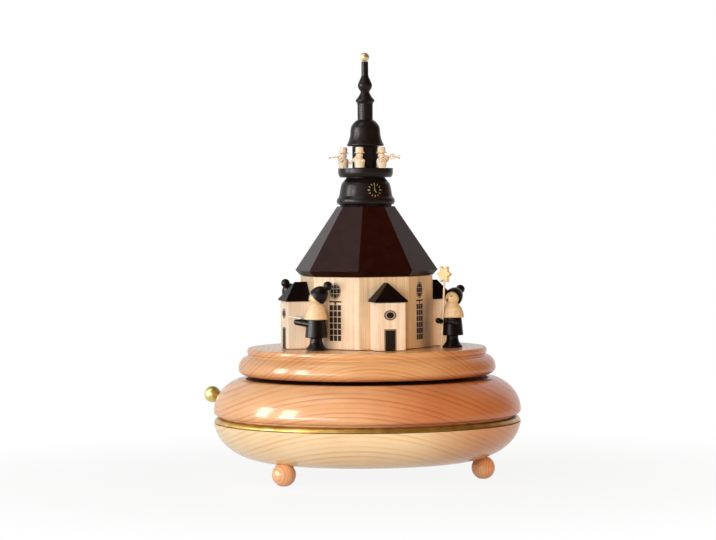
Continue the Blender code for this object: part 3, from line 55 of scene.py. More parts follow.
MM = 0.001
GAP = 0.3 * MM
FINE_EDGE = 0.15 * MM
FOOT_RADIUS = 7.6 * MM
FOOT_FLAT_RADIUS = 2.4 * MM
DOWEL_RADIUS = 2.0 * MM
DOWEL_LENGTH = 4.6 * MM
FOOT_SEAT_DEPTH = 2.4 * MM
FEET = ("foot_front_left", "foot_front_right", "foot_rear")
WAVE = math.tau / 20  # the wave texture's rings lie this far apart at a scale of 1
RING_SWELL = 60 * MM  # the rings wander in bends of this length
SHARP = math.radians(28)
# the colour that darkens and reddens each board's right side: painted shade, partly a redder heartwood
HEARTWOOD_AND_SHADE = "#D9A78C"
LACQUER = {"Specular_IOR_Level": 0.15, "Coat_Weight": 0.5, "Coat_Roughness": 0.12}


def linear(colour):
    """The linear colour of an sRGB hex value."""
    shares = [int(colour[place:place + 2], 16) / 255 for place in (1, 3, 5)]
    return [s / 12.92 if s <= 0.04045 else ((s + 0.055) / 1.055) ** 2.4 for s in shares] + [1.0]


def add_node(tree, kind, inputs=(), output=None, **settings):
    """Add a shader node, set or link its inputs, and return it, or the output asked for."""
    made = tree.nodes.new("ShaderNode" + kind)
    for name, value in settings.items():
        setattr(made, name, value)
    for name, value in dict(inputs).items():
        if isinstance(value, bpy.types.NodeSocket):
            tree.links.new(value, made.inputs[name])
        else:
            made.inputs[name].default_value = value
    return made if output is None else made.outputs[output]


def start_material(name, **values):
    """A new material, its tree, its shader with plain values, and the object's coordinates."""
    material = bpy.data.materials.new(name)
    material.use_nodes = True
    tree = material.node_tree
    shader = tree.nodes["Principled BSDF"]
    for socket, value in values.items():
        shader.inputs[socket.replace("_", " ")].default_value = value
    return material, tree, shader, add_node(tree, "TexCoord", output="Object")


def stretched_noise(tree, place, sizes, detail, distortion=0.0):
    """Noise in lumps of the given sizes along X, Y and Z."""
    scale = [1 / size for size in sizes]
    stretched = add_node(tree, "Mapping", {"Vector": place, "Scale": scale}, "Vector")
    return add_node(
        tree, "TexNoise",
        {"Vector": stretched, "Scale": 1.0, "Detail": detail, "Distortion": distortion}, "Fac",
    )


def finish_surface(tree, shader, tone, light, dark, grain, rough, relief=None):
    """Mix two colours by the tone. The grain varies the roughness, and the relief if any."""
    colour = add_node(
        tree, "Mix", {0: tone, 6: linear(light), 7: linear(dark)}, 2, data_type="RGBA"
    )
    tree.links.new(colour, shader.inputs["Base Color"])
    gloss = add_node(
        tree, "MapRange", {"Value": grain, "To Min": rough[0], "To Max": rough[1]}, "Result"
    )
    tree.links.new(gloss, shader.inputs["Roughness"])
    if relief:
        strength, distance = relief
        bump = add_node(
            tree, "Bump", {"Height": grain, "Strength": strength, "Distance": distance}, "Normal"
        )
        tree.links.new(bump, shader.inputs["Normal"])
    return colour


def solid_wood(name, light, dark, ring, pith, turn, wobble=3.0, depth=0.75, heart_and_shade=(0.2, 0.3), **values):
    """Wood cut from a board: growth rings round a pith that lies along the board's own Y."""
    material, tree, shader, place = start_material(name, **values)
    board = add_node(
        tree, "Mapping", {"Vector": place, "Location": pith, "Rotation": turn}, "Vector",
        vector_type="TEXTURE",
    )
    # a ring darkens slowly towards its late wood, and some years are darker than others
    rings, years = (
        add_node(
            tree, "TexWave",
            {"Vector": board, "Scale": WAVE / width, "Distortion": bend, "Detail": 2.0,
             "Detail Scale": width / (WAVE * RING_SWELL)},
            "Fac", wave_type="RINGS", rings_direction="Y", wave_profile=profile,
        )
        for width, bend, profile in ((ring, wobble, "SAW"), (3.7 * ring, 2 * wobble, "SIN"))
    )
    late = add_node(
        tree, "MapRange", {"Value": rings, "From Min": 0.4, "From Max": 1.0}, "Result",
        interpolation_type="SMOOTHERSTEP",
    )
    weight = add_node(
        tree, "MapRange", {"Value": years, "To Min": 0.25 * depth, "To Max": depth}, "Result"
    )
    ringed = add_node(tree, "Math", {0: late, 1: weight}, "Value", operation="MULTIPLY")
    # fibres half a millimetre wide and 15 mm long run with the pith
    fibre = stretched_noise(tree, board, (0.5 * MM, 15 * MM, 0.5 * MM), 3.0)
    streak = add_node(
        tree, "MapRange",
        {"Value": fibre, "From Min": 0.3, "From Max": 0.7, "To Min": -0.09, "To Max": 0.09}, "Result",
    )
    # clouds 40 mm across, where the finish has soaked in unevenly
    cloud = add_node(tree, "TexNoise", {"Vector": board, "Scale": 1 / (40 * MM), "Detail": 2.0}, "Fac")
    soak = add_node(
        tree, "MapRange",
        {"Value": cloud, "From Min": 0.35, "From Max": 0.65, "To Min": -0.1, "To Max": 0.2}, "Result",
    )
    tone = add_node(tree, "Math", {0: ringed, 1: streak}, "Value", operation="ADD")
    tone = add_node(tree, "Math", {0: tone, 1: soak}, "Value", operation="ADD", use_clamp=True)
    colour = finish_surface(
        tree, shader, tone, light, dark, fibre, (0.36, 0.5), (0.25, 0.02 * MM)
    )
    # the board's right side, away from the lamps, is redder and darker: painted shade there, partly a real
    # redder heartwood
    across = add_node(tree, "SeparateXYZ", {"Vector": board}, "X")
    inner = add_node(
        tree, "MapRange",
        {"Value": across, "From Min": heart_and_shade[0], "From Max": heart_and_shade[1], "To Max": 0.85}, "Result",
        interpolation_type="SMOOTHSTEP",
    )
    redder_and_shaded = add_node(
        tree, "Mix", {0: inner, 6: colour, 7: linear(HEARTWOOD_AND_SHADE)}, 2,
        data_type="RGBA", blend_type="MULTIPLY",
    )
    tree.links.new(redder_and_shaded, shader.inputs["Base Color"])
    return material


def arc(centre, semi_radius, semi_height, start, end, steps):
    """Points of an elliptic arc in (radius, height), its angles in degrees from +radius."""
    points = []
    for step in range(steps + 1):
        angle = math.radians(start + (end - start) * step / steps)
        # rounding puts an end on the axis exactly there
        radius = round(centre[0] + semi_radius * math.cos(angle), 12)
        points.append((radius, centre[1] + semi_height * math.sin(angle)))
    return points


def turned(profile, steps):
    """Spin a profile of (radius, height) about Z into one closed solid."""
    shape = bmesh.new()
    verts = [shape.verts.new((radius, 0.0, height)) for radius, height in profile]
    edges = [shape.edges.new(pair) for pair in zip(verts, verts[1:])]
    if profile[0][0] > 0.0:
        edges.append(shape.edges.new((verts[-1], verts[0])))
    bmesh.ops.spin(
        shape, geom=verts + edges, cent=(0, 0, 0), axis=(0, 0, 1), angle=math.tau,
        steps=steps, use_merge=True,
    )
    bmesh.ops.remove_doubles(shape, verts=shape.verts, dist=1e-7)
    bmesh.ops.recalc_face_normals(shape, faces=shape.faces)
    return shape


def placed(shape, matrix):
    """The shape itself, moved."""
    bmesh.ops.transform(shape, matrix=matrix, verts=shape.verts)
    return shape


def shift(x, y, z):
    """A move without a turn."""
    return Matrix.Translation((x, y, z))


def levels(node):
    """The bottom and the top of a CAD node."""
    low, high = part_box(node)
    return low.z, high.z


def loose_object(name, shape):
    """A new object that holds the shape."""
    mesh = bpy.data.meshes.new(name)
    shape.to_mesh(mesh)
    shape.free()
    thing = bpy.data.objects.new(name, mesh)
    bpy.context.scene.collection.objects.link(thing)
    return thing


def carved(shape, tools, operation="DIFFERENCE"):
    """Cut tools from a shape, or join them to it, one after the other."""
    target = loose_object("blank", shape)
    helpers = [loose_object("tool", tool) for tool in tools]
    for helper in helpers:
        modifier = target.modifiers.new("tool", "BOOLEAN")
        modifier.operation = operation
        modifier.solver = "EXACT"
        modifier.object = helper
    bpy.context.view_layer.update()
    result = bmesh.new()
    result.from_object(target, bpy.context.evaluated_depsgraph_get())
    for thing in [target] + helpers:
        bpy.data.objects.remove(thing, do_unlink=True)
    return result


def finish_piece(name, shape, material, body, slot, *nodes, edge=0.0, gap_shade=None):
    """Make a shape a named piece: break its sharp edges, shade it, and let it ride."""
    if edge:
        sharp = [e for e in shape.edges if e.is_manifold and e.calc_face_angle() > SHARP]
        bmesh.ops.bevel(
            shape, geom=sharp, offset=edge, segments=2, profile=0.5, affect="EDGES",
            material=-1, clamp_overlap=True,
        )
    # the faces that the given test picks get a second, dark material: painted shade of the gap under the
    # turntable
    if gap_shade:
        for face in shape.faces:
            face.material_index = int(gap_shade(face))
    piece = loose_object(name, shape)
    piece.data.materials.append(material)
    if gap_shade:
        piece.data.materials.append(gap_shade_wood)
    piece.data.shade_smooth()
    piece.data.set_sharp_from_angle(angle=SHARP)
    even = piece.modifiers.new("even shading", "WEIGHTED_NORMAL")
    even.keep_sharp = True
    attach(piece, body)
    if nodes:
        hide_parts(*nodes)
    return piece


foot_wood = solid_wood(
    "lacquered_alder_feet", "#F2B685", "#C87C48", ring=1.6 * MM, pith=(0, 0, 0),
    turn=(math.radians(90), 0, 0), **LACQUER,
)
foot_centre = math.sqrt(FOOT_RADIUS**2 - FOOT_FLAT_RADIUS**2)
underside, lower_lip = levels("base_lower")
foot_seat = underside + FOOT_SEAT_DEPTH
seat = foot_seat - GAP
seat_angle = math.degrees(math.asin((seat - foot_centre) / FOOT_RADIUS))
flat_angle = -math.degrees(math.acos(FOOT_FLAT_RADIUS / FOOT_RADIUS))
profile = [(0, seat + DOWEL_LENGTH), (DOWEL_RADIUS, seat + DOWEL_LENGTH), (DOWEL_RADIUS, seat)]
profile += arc((0, foot_centre), FOOT_RADIUS, FOOT_RADIUS, seat_angle, flat_angle, 24)
profile.append((0, 0))
foot_spots = []
for foot in FEET:
    low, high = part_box(foot)
    middle = (low + high) / 2
    foot_spots.append(shift(middle.x, middle.y, 0))
    ball = placed(turned(profile, 48), foot_spots[-1])
    finish_piece(foot + "_ball", ball, foot_wood, "housing", "lacquered_wood", foot, edge=FINE_EDGE)

# Base, lower half
# A bowl of clear lacquered alder, turned from one board whose pith lies along its length,
# with a hollow for the movement, a ledge for the cover and a seat for each foot.

BASE_RADIUS = 99.8 * MM
BASE_STEPS = 144
BASE_EDGE = 0.4 * MM
CAVITY_RADIUS = 83.0 * MM
GROOVE_RADIUS = 95.0 * MM
GROOVE_HEIGHT = 5.0 * MM
LOWER_CURVE_OVERSHOOT = 2.2 * MM
LOWER_FLAT_RADIUS = 63.9 * MM
OPENING_RADIUS = 61.7 * MM
LEDGE_RADIUS = 57.2 * MM
FLOOR_THICKNESS = 9.4 * MM
COVER_THICKNESS = 4.7 * MM
BOARD_HEADING = -16.3  # the board's length lay this way when it was turned


def level_board(across, height):
    """A board that lies level, with its pith so far to the right of the axis and above the table."""
    angle = math.radians(BOARD_HEADING)
    pith = (across * math.cos(angle), across * math.sin(angle), height)
    return {"pith": pith, "turn": (0, 0, angle)}


# the lower half is paler and creamier than the lid: partly painted light, the bounce from the white table
# under it
lower_wood = solid_wood(
    "lacquered_alder_lower", "#FCDFB2", "#DDA468", ring=3.2 * MM, wobble=2.6, depth=0.5,
    heart_and_shade=(30 * MM, 88 * MM), **level_board(-8 * MM, -112 * MM), **LACQUER,
)
groove_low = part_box("gold_band")[0].z - GAP
cover_top = underside + COVER_THICKNESS
semi_height = groove_low - underside + LOWER_CURVE_OVERSHOOT
start = -math.degrees(math.asin(LOWER_CURVE_OVERSHOOT / semi_height))
profile = [(GROOVE_RADIUS, lower_lip), (GROOVE_RADIUS, groove_low)]
profile += arc(
    (LOWER_FLAT_RADIUS, underside + semi_height), BASE_RADIUS - LOWER_FLAT_RADIUS, semi_height,
    start, -90, 28,
)
profile += [
    (OPENING_RADIUS, underside),
    (OPENING_RADIUS, cover_top + GAP),
    (LEDGE_RADIUS, cover_top + GAP),
    (LEDGE_RADIUS, underside + FLOOR_THICKNESS),
    (CAVITY_RADIUS, underside + FLOOR_THICKNESS),
    (CAVITY_RADIUS, lower_lip),
]
seat_radius = math.sqrt(FOOT_RADIUS**2 - (underside - foot_centre) ** 2) + GAP
cutters = []
for spot in foot_spots:
    for radius, top in ((seat_radius, foot_seat), (DOWEL_RADIUS + GAP, foot_seat + DOWEL_LENGTH + GAP)):
        cutters.append(placed(turned([(0, top), (radius, top), (radius, 0), (0, 0)], 40), spot))
bowl = carved(turned(profile, BASE_STEPS), cutters)
finish_piece("base_bowl", bowl, lower_wood, "housing", "lacquered_wood", "base_lower", edge=BASE_EDGE)

# Gold band
# A bead of beech, brushed with gold bronze, that lies in the groove between the two halves.
# A thin dark gap stays above it and below it.

BEAD_HEIGHT = 3.4 * MM


def gold_bronze(name, colour, shade):
    """Bronze powder in a clear lacquer, brushed on wood: a metal with fine flakes and streaks."""
    material, tree, shader, place = start_material(name, Metallic=0.85, Coat_Weight=0.3)
    flakes = add_node(tree, "TexNoise", {"Vector": place, "Scale": 1 / (0.3 * MM), "Detail": 2.0}, "Fac")
    brush = add_node(tree, "TexNoise", {"Vector": place, "Scale": 1 / (9 * MM), "Detail": 3.0}, "Fac")
    tone = add_node(tree, "MapRange", {"Value": brush, "From Min": 0.3, "From Max": 0.75}, "Result")
    finish_surface(tree, shader, tone, colour, shade, flakes, (0.28, 0.5), (0.3, 0.02 * MM))
    return material


gilt = gold_bronze("gold_bronze_paint", "#D0AA58", "#99752E")
bead_low = groove_low + GAP
inner = GROOVE_RADIUS + GAP
profile = [(inner, bead_low + BEAD_HEIGHT)]
profile += arc((inner, bead_low), BASE_RADIUS - GAP - inner, BEAD_HEIGHT, 80, 8, 12)
profile += [(BASE_RADIUS - 3 * GAP, bead_low), (inner, bead_low)]
finish_piece("gilt_bead", turned(profile, BASE_STEPS), gilt, "housing", "gilding", "gold_band")

# Base, upper half
# The lid of the base, turned from a second board with its closer rings falling away to the
# sides. Its flat top is the deck, bored for the shaft's bush, and its wall for the stop rod.

UPPER_EDGE_HEIGHT = 2.7 * MM
UPPER_EDGE_WIDTH = 2.5 * MM
UPPER_CURVE_OVERSHOOT = 1.9 * MM
UPPER_CURVE_WIDTH = 26.6 * MM
DECK_THICKNESS = 6.0 * MM
DECK_BORE = 6.45 * MM
# inside this radius the deck carries painted shade, the dark of the gap under the turntable
SHADED_DECK_RADIUS = 79.0 * MM
STOP_HEADING = -120.0
STOP_HOLE_RADIUS = 3.45 * MM
STOP_HOLE_SPARE = 2.0 * MM  # the drill reaches this far past both faces of the wall


def along(heading, distance, height=0.0):
    """The point at a heading, a distance and a height."""
    angle = math.radians(heading)
    return Vector((distance * math.sin(angle), -distance * math.cos(angle), height))


def rotate(degrees, axis="Z"):
    """A turn about an axis through the origin."""
    return Matrix.Rotation(math.radians(degrees), 4, axis)


def lying(heading, height):
    """Places a piece turned about Z so that its axis points along a heading at a height."""
    return shift(0, 0, height) @ rotate(heading - 90) @ rotate(90, "Y")


upper_wood = solid_wood(
    "lacquered_alder_upper", "#EBB37F", "#BE7240", ring=2.9 * MM, wobble=2.8, depth=0.55,
    heart_and_shade=(-10 * MM, 60 * MM), **level_board(-12 * MM, -110 * MM), **LACQUER,
)
upper_lip, deck_top = levels("base_upper")
upper_bottom = groove_low + GROOVE_HEIGHT
edge_top = upper_bottom + UPPER_EDGE_HEIGHT
semi_height = deck_top - edge_top + UPPER_CURVE_OVERSHOOT
deck_angle = math.degrees(math.asin((deck_top - edge_top) / semi_height))
profile = [(DECK_BORE, deck_top), (SHADED_DECK_RADIUS, deck_top)]
profile += arc(
    (BASE_RADIUS - UPPER_CURVE_WIDTH, edge_top), UPPER_CURVE_WIDTH, semi_height, deck_angle, 0, 24
)
profile += arc(
    (BASE_RADIUS - UPPER_EDGE_WIDTH, edge_top), UPPER_EDGE_WIDTH, UPPER_EDGE_HEIGHT, 0, -90, 8
)[1:]
profile += [
    (GROOVE_RADIUS, upper_bottom),
    (GROOVE_RADIUS, upper_lip),
    (CAVITY_RADIUS, upper_lip),
    (CAVITY_RADIUS, deck_top - DECK_THICKNESS),
    (DECK_BORE, deck_top - DECK_THICKNESS),
]
stop_height = sum(levels("stop_rod")) / 2
outer_end = BASE_RADIUS + STOP_HOLE_SPARE
inner_end = CAVITY_RADIUS - STOP_HOLE_SPARE
hole = turned(
    [(0, outer_end), (STOP_HOLE_RADIUS, outer_end), (STOP_HOLE_RADIUS, inner_end), (0, inner_end)], 32
)
lid = carved(turned(profile, BASE_STEPS), [placed(hole, lying(STOP_HEADING, stop_height))])
# where the turntable covers it, the deck is painted dark brown with no lacquer: painted shade of the gap
# under the turntable
gap_shade_wood = solid_wood(
    "alder_painted_gap_shade", "#6E3417", "#4A1F0C", ring=5.0 * MM, Specular_IOR_Level=0.1,
    **level_board(-12 * MM, -110 * MM),
)


def under_turntable(face):
    """Whether a face lies on the deck under the turntable."""
    centre = face.calc_center_median()
    return centre.z > deck_top - 0.01 * MM and centre.xy.length < SHADED_DECK_RADIUS


finish_piece(
    "base_lid", lid, upper_wood, "housing", "lacquered_wood", "base_upper", edge=BASE_EDGE,
    gap_shade=under_turntable,
)

# Bottom cover and its screws
# A disc of birch plywood that closes the floor, screwed up into the ledge with four slotted
# screws. The winding arbor comes through the hole in its middle.

SCREW_HEADINGS = {0: 20, 90: 173, 180: 326, 270: 479}  # and how far each one is driven, in degrees
SCREW_CIRCLE_RADIUS = 59.3 * MM
SCREW_SHANK_RADIUS = 0.8 * MM
SCREW_HEAD_RADIUS = 1.8 * MM
SCREW_HEAD_DEPTH = 1.3 * MM
SCREW_HEAD_CROWN = 0.4 * MM
SCREW_LENGTH = 6.0 * MM
SLOT_LENGTH = 5.0 * MM
SLOT_WIDTH = 0.5 * MM


def birch_plywood(name):
    """Raw birch ply: a pale rotary-cut face with long wandering figure, and a little fuzz."""
    material, tree, shader, place = start_material(name)
    figure = stretched_noise(tree, place, (4 * MM, 60 * MM, 1.2 * MM), 4.0, 0.6)
    tone = add_node(tree, "MapRange", {"Value": figure, "From Min": 0.3, "From Max": 0.7}, "Result")
    finish_surface(tree, shader, tone, "#DDBE93", "#BE9763", figure, (0.6, 0.8), (0.4, 0.05 * MM))
    return material


def turned_metal(name, colour, worn, rough):
    """Metal off the lathe or the grinder: fine scratches, and patches a little duller."""
    material, tree, shader, place = start_material(name, Metallic=1.0)
    scratches = stretched_noise(tree, place, (3 * MM, 3 * MM, 0.15 * MM), 2.0)
    patches = add_node(tree, "TexNoise", {"Vector": place, "Scale": 1 / (6 * MM), "Detail": 3.0}, "Fac")
    tone = add_node(tree, "MapRange", {"Value": patches, "From Min": 0.4, "From Max": 0.75}, "Result")
    finish_surface(tree, shader, tone, colour, worn, scratches, rough, (0.15, 0.01 * MM))
    return material


def refinish(material, *nodes):
    """Give CAD nodes that stay in view their own finish."""
    for node in nodes:
        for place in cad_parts[node].material_slots:
            place.material = material


def block(low, high):
    """A sawn block between two corners."""
    low, high = Vector(low), Vector(high)
    shape = bmesh.new()
    bmesh.ops.create_cube(shape, size=1.0)
    bmesh.ops.scale(shape, verts=shape.verts, vec=high - low)
    bmesh.ops.translate(shape, verts=shape.verts, vec=(low + high) / 2)
    return shape


def gather(target, shape, matrix):
    """Add a shape to another at a place."""
    mesh = bpy.data.meshes.new("part")
    placed(shape, matrix).to_mesh(mesh)
    shape.free()
    target.from_mesh(mesh)
    bpy.data.meshes.remove(mesh)


refinish(birch_plywood("raw_birch_plywood"), "bottom_cover")
steel = turned_metal("ground_steel", "#B9BABD", "#96989C", (0.2, 0.42))
head_rim = underside - 0.1 * MM
profile = [
    (0, underside + SCREW_LENGTH), (SCREW_SHANK_RADIUS, underside + SCREW_LENGTH - 1.2 * MM),
    (SCREW_SHANK_RADIUS, underside + SCREW_HEAD_DEPTH), (SCREW_HEAD_RADIUS, head_rim),
]
profile += arc((0, head_rim), SCREW_HEAD_RADIUS, SCREW_HEAD_CROWN, -8, -90, 5)
slot_cut = block(
    (-SLOT_LENGTH / 2, -SLOT_WIDTH / 2, head_rim - 1.0 * MM),
    (SLOT_LENGTH / 2, SLOT_WIDTH / 2, head_rim + 0.2 * MM),
)
screw = carved(turned(profile, 24), [slot_cut])
screws = bmesh.new()
for heading, driven in SCREW_HEADINGS.items():
    gather(screws, screw.copy(), shift(*along(heading, SCREW_CIRCLE_RADIUS)) @ rotate(driven))
screw.free()
finish_piece("cover_screws", screws, steel, "housing", "steel")

# Winding key and the musical movement
# A brass key on a steel arbor winds the spring in its barrel, and its wings fold flat under the
# base. The crown teeth turn the cylinder, its pins pluck the comb, and the vane keeps the speed.

brass = turned_metal("bright_brass", "#DDB461", "#B98B3F", (0.18, 0.4))
blued = turned_metal("blued_spring_steel", "#6A7080", "#4B505F", (0.22, 0.4))
refinish(brass, "bedplate", "cylinder", "governor_wheel", "fan_and_worm")
refinish(brass, "mainspring_barrel", "deck_bush", "stop_bush", "stop_rod")
refinish(steel, "winding_arbor", "turntable_shaft", "comb", "governor_frame")
refinish(blued, "mainspring", "clutch_spring")

KEY_RADIUS = 4.6 * MM
KEY_BOSS_RADIUS = 3.2 * MM
KEY_BOSS_ROUNDING = 0.6 * MM
KEY_BORE_RADIUS = 2.4 * MM
KEY_SPAN = 30.0 * MM
KEY_DEPTH = 8.4 * MM
KEY_THICKNESS = 2.0 * MM
WING_DROP = 3.6 * MM  # from the key's top to its collar's lower face, where the wings lie

key_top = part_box("winding_key")[1].z
arbor_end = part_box("winding_arbor")[0].z
collar = key_top - WING_DROP
boss = [(0, arbor_end - 0.3 * MM)] + arc(
    (KEY_BOSS_RADIUS - KEY_BOSS_ROUNDING, arbor_end + 0.3 * MM), KEY_BOSS_ROUNDING,
    KEY_BOSS_ROUNDING, -90, 0, 6,
)
boss += [(KEY_BOSS_RADIUS, collar), (KEY_RADIUS, collar), (KEY_RADIUS, key_top), (0, key_top)]
wings = []
for side in (-1, 1):
    wing = turned([(0, KEY_THICKNESS), (KEY_DEPTH / 2, KEY_THICKNESS), (KEY_DEPTH / 2, 0), (0, 0)], 40)
    bmesh.ops.scale(wing, verts=wing.verts, vec=(KEY_SPAN / 2 / KEY_DEPTH, 1, 1))
    wings.append(placed(wing, shift(side * KEY_SPAN / 4, 0, collar + 0.2 * MM)))
drill = [(0, key_top + MM), (KEY_BORE_RADIUS, key_top + MM)]
drill += [(KEY_BORE_RADIUS, arbor_end - 0.1 * MM), (0, arbor_end - 0.1 * MM)]
key = carved(carved(turned(boss, 32), wings, "UNION"), [turned(drill, 24)])
finish_piece("folded_key", key, brass, "key_body", "brass", "winding_key", edge=0.3 * MM)

# Stop knob
# A turned ball brushed with gold bronze, glued on the brass rod that stops the vane.

KNOB_RADIUS = 5.4 * MM
KNOB_DISTANCE = 105.0 * MM
KNOB_BORE = 1.8 * MM
KNOB_BORE_DEPTH = 4.3 * MM
KNOB_FLAT_RADIUS = 1.6 * KNOB_BORE

mouth = KNOB_DISTANCE - math.sqrt(KNOB_RADIUS**2 - KNOB_FLAT_RADIUS**2)
mouth_angle = -math.degrees(math.acos(KNOB_FLAT_RADIUS / KNOB_RADIUS))
profile = arc((0, KNOB_DISTANCE), KNOB_RADIUS, KNOB_RADIUS, 90, mouth_angle, 24)
profile += [(KNOB_BORE, mouth), (KNOB_BORE, mouth + KNOB_BORE_DEPTH), (0, mouth + KNOB_BORE_DEPTH)]
knob = placed(turned(profile, 48), lying(STOP_HEADING, stop_height))
knob_gilt = gold_bronze("gold_bronze_knob", "#E2D08A", "#B9A255")
finish_piece("stop_ball", knob, knob_gilt, "stop_body", "gilding", "stop_knob", edge=FINE_EDGE)

# Turntable
# A disc of clear lacquered alder, turned with a bead, a fine line and an upright rim, from a
# board with narrow rings. It runs on the shaft, a little above the deck.

RIM_RADIUS = 77.8 * MM
BEAD_RADIUS = 83.6 * MM
BEAD_WIDTH = 7.1 * MM
BEAD_LOW = 4.5 * MM
BEAD_HIGH = 8.4 * MM
LINE_DEPTH = 0.5 * MM
RIM_ROUNDING = 1.3 * MM
FLANGE_RECESS_RADIUS = 14.3 * MM
FLANGE_RECESS_DEPTH = 4.1 * MM
SHAFT_BORE_RADIUS = 4.3 * MM
SHAFT_BORE_DEPTH = 12.3 * MM

table_wood = solid_wood(
    "lacquered_alder_turntable", "#DEA66F", "#A9592B", ring=2.3 * MM, wobble=2.6, depth=0.45,
    heart_and_shade=(20 * MM, 90 * MM), **level_board(4 * MM, -5 * MM), **LACQUER,
)
table_bottom, table_top = levels("turntable")
bead_middle = table_bottom + BEAD_LOW
bead_centre = (BEAD_RADIUS - BEAD_WIDTH, bead_middle)
rim_middle = (table_top + bead_middle + BEAD_HIGH + LINE_DEPTH) / 2
profile = [(0, table_top)]
profile += arc(
    (RIM_RADIUS - RIM_ROUNDING, rim_middle), RIM_ROUNDING, table_top - rim_middle, 90, -62, 14
)
profile += arc(bead_centre, BEAD_WIDTH, BEAD_HIGH, 78, 0, 20)
profile += arc(bead_centre, BEAD_WIDTH, BEAD_LOW, 0, -80, 12)[1:]
profile += [
    (FLANGE_RECESS_RADIUS, table_bottom),
    (FLANGE_RECESS_RADIUS, table_bottom + FLANGE_RECESS_DEPTH),
    (SHAFT_BORE_RADIUS, table_bottom + FLANGE_RECESS_DEPTH),
    (SHAFT_BORE_RADIUS, table_bottom + SHAFT_BORE_DEPTH),
    (0, table_bottom + SHAFT_BORE_DEPTH),
]


def faces_the_deck(face):
    """Whether a face of the turntable looks down at the deck."""
    centre = face.calc_center_median()
    inward = face.normal.z < 0.0 and centre.xy.length < 0.9 * BEAD_RADIUS
    return inward or centre.z < table_bottom + 0.4 * MM


# its faces that look down at the deck carry painted shade, the dark of the gap
finish_piece(
    "turning_disc", turned(profile, BASE_STEPS), table_wood, "turntable_body", "lacquered_wood",
    "turntable", gap_shade=faces_the_deck,
)

# Church walls and porches
# Blocks of bare limewood under a matt varnish, sawn and sanded, glued on the turntable. The
# grain stands upright. Windows and doors are printed on them in dark brown ink.

WALL_CIRCLE_RADIUS = 43.2 * MM
WALL_EDGE = 0.35 * MM
PORCH_HALF_WIDTH = 9.45 * MM
PORCH_FRONT = 55.3 * MM
SIDES = {"front": 0, "right": 90, "rear": 180, "left": 270}


def limewood(name, light, dark, streak=1.1 * MM, length=45 * MM):
    """Limewood, sanded and matt varnished: pale, with soft upright streaks and fine pores."""
    material, tree, shader, place = start_material(name, Coat_Weight=0.12, Coat_Roughness=0.35)
    streaks = stretched_noise(tree, place, (streak, streak, length), 3.0, 0.3)
    pores = stretched_noise(tree, place, (0.25 * MM, 0.25 * MM, 3 * MM), 2.0)
    broad = add_node(tree, "TexNoise", {"Vector": place, "Scale": 1 / (18 * MM), "Detail": 2.0}, "Fac")
    tone = add_node(
        tree, "MapRange", {"Value": streaks, "From Min": 0.32, "From Max": 0.72, "To Max": 0.75},
        "Result",
    )
    shade = add_node(
        tree, "MapRange", {"Value": broad, "From Min": 0.4, "From Max": 0.65, "To Max": 0.35}, "Result"
    )
    tone = add_node(tree, "Math", {0: tone, 1: shade}, "Value", operation="ADD", use_clamp=True)
    finish_surface(tree, shader, tone, light, dark, pores, (0.48, 0.68), (0.35, 0.03 * MM))
    return material


def eight_sided(profile):
    """An octagonal solid with a flat side towards -Y."""
    return placed(turned(profile, 8), rotate(22.5))


bare_lime = limewood("matt_limewood", "#EDD1AA", "#CCA67C")
stage, wall_top = levels("church_walls")
profile = [(0, wall_top), (WALL_CIRCLE_RADIUS, wall_top), (WALL_CIRCLE_RADIUS, stage), (0, stage)]
finish_piece(
    "church_block", eight_sided(profile), bare_lime, "turntable_body", "limewood", "church_walls",
    edge=WALL_EDGE,
)
wall_distance = WALL_CIRCLE_RADIUS * math.cos(math.pi / 8)
porch_back = wall_distance + GAP
porch_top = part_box("porch_front")[1].z
porch_lime = limewood("pale_matt_limewood", "#FBE9D0", "#E3C2A0")
for side, heading in SIDES.items():
    walls = block((-PORCH_HALF_WIDTH, -PORCH_FRONT, stage), (PORCH_HALF_WIDTH, -porch_back, porch_top))
    finish_piece(
        "porch_block_" + side, placed(walls, rotate(heading)), porch_lime, "turntable_body",
        "limewood", "porch_" + side, edge=WALL_EDGE,
    )

# Printed windows and doors
# Screen printed in one dark brown ink: a lattice of panes with a round window over it on each
# slanting wall, and on each porch a door and an oval window.

INK_THICKNESS = 0.05 * MM
LATTICE_WIDTH = 8.8 * MM
LATTICE_LOW = 5.2 * MM
LATTICE_HEIGHT = 23.4 * MM
LATTICE_BAR = 0.24 * MM
WINDOW_ASIDE = {45: -2.1 * MM, 135: -0.9 * MM, 225: -0.9 * MM, 315: -0.9 * MM}
CORNICE_HEIGHT = 30.5 * MM
CORNICE_THICKNESS = 0.95 * MM
STEM_WIDTH = 1.1 * MM
ROSE_HEIGHT = 37.2 * MM
ROSE_WIDTH = 8.3 * MM
ROSE_TALL = 10.2 * MM
ROSE_LINE = 0.3 * MM
ROSE_BAR = 0.13 * MM
DOOR_WIDTH = 8.0 * MM
DOOR_HEIGHT = 13.6 * MM
DOOR_FRAME = 0.9 * MM
DOOR_ASIDE = -0.7 * MM
OVAL_HEIGHT = 22.4 * MM
OVAL_WIDTH = 8.3 * MM
OVAL_TALL = 6.5 * MM
OVAL_LINE = 1.3 * MM
EYE_SHARE = 0.62  # the dark middle's part of the oval window


def ink(name, colour, thin):
    """Matt printing ink, a little thin where the wood's pores took it up."""
    material, tree, shader, place = start_material(name, Specular_IOR_Level=0.2)
    blot = add_node(tree, "TexNoise", {"Vector": place, "Scale": 1 / (0.5 * MM), "Detail": 3.0}, "Fac")
    tone = add_node(tree, "MapRange", {"Value": blot, "From Min": 0.5, "From Max": 0.8}, "Result")
    finish_surface(tree, shader, tone, colour, thin, blot, (0.45, 0.65))
    return material


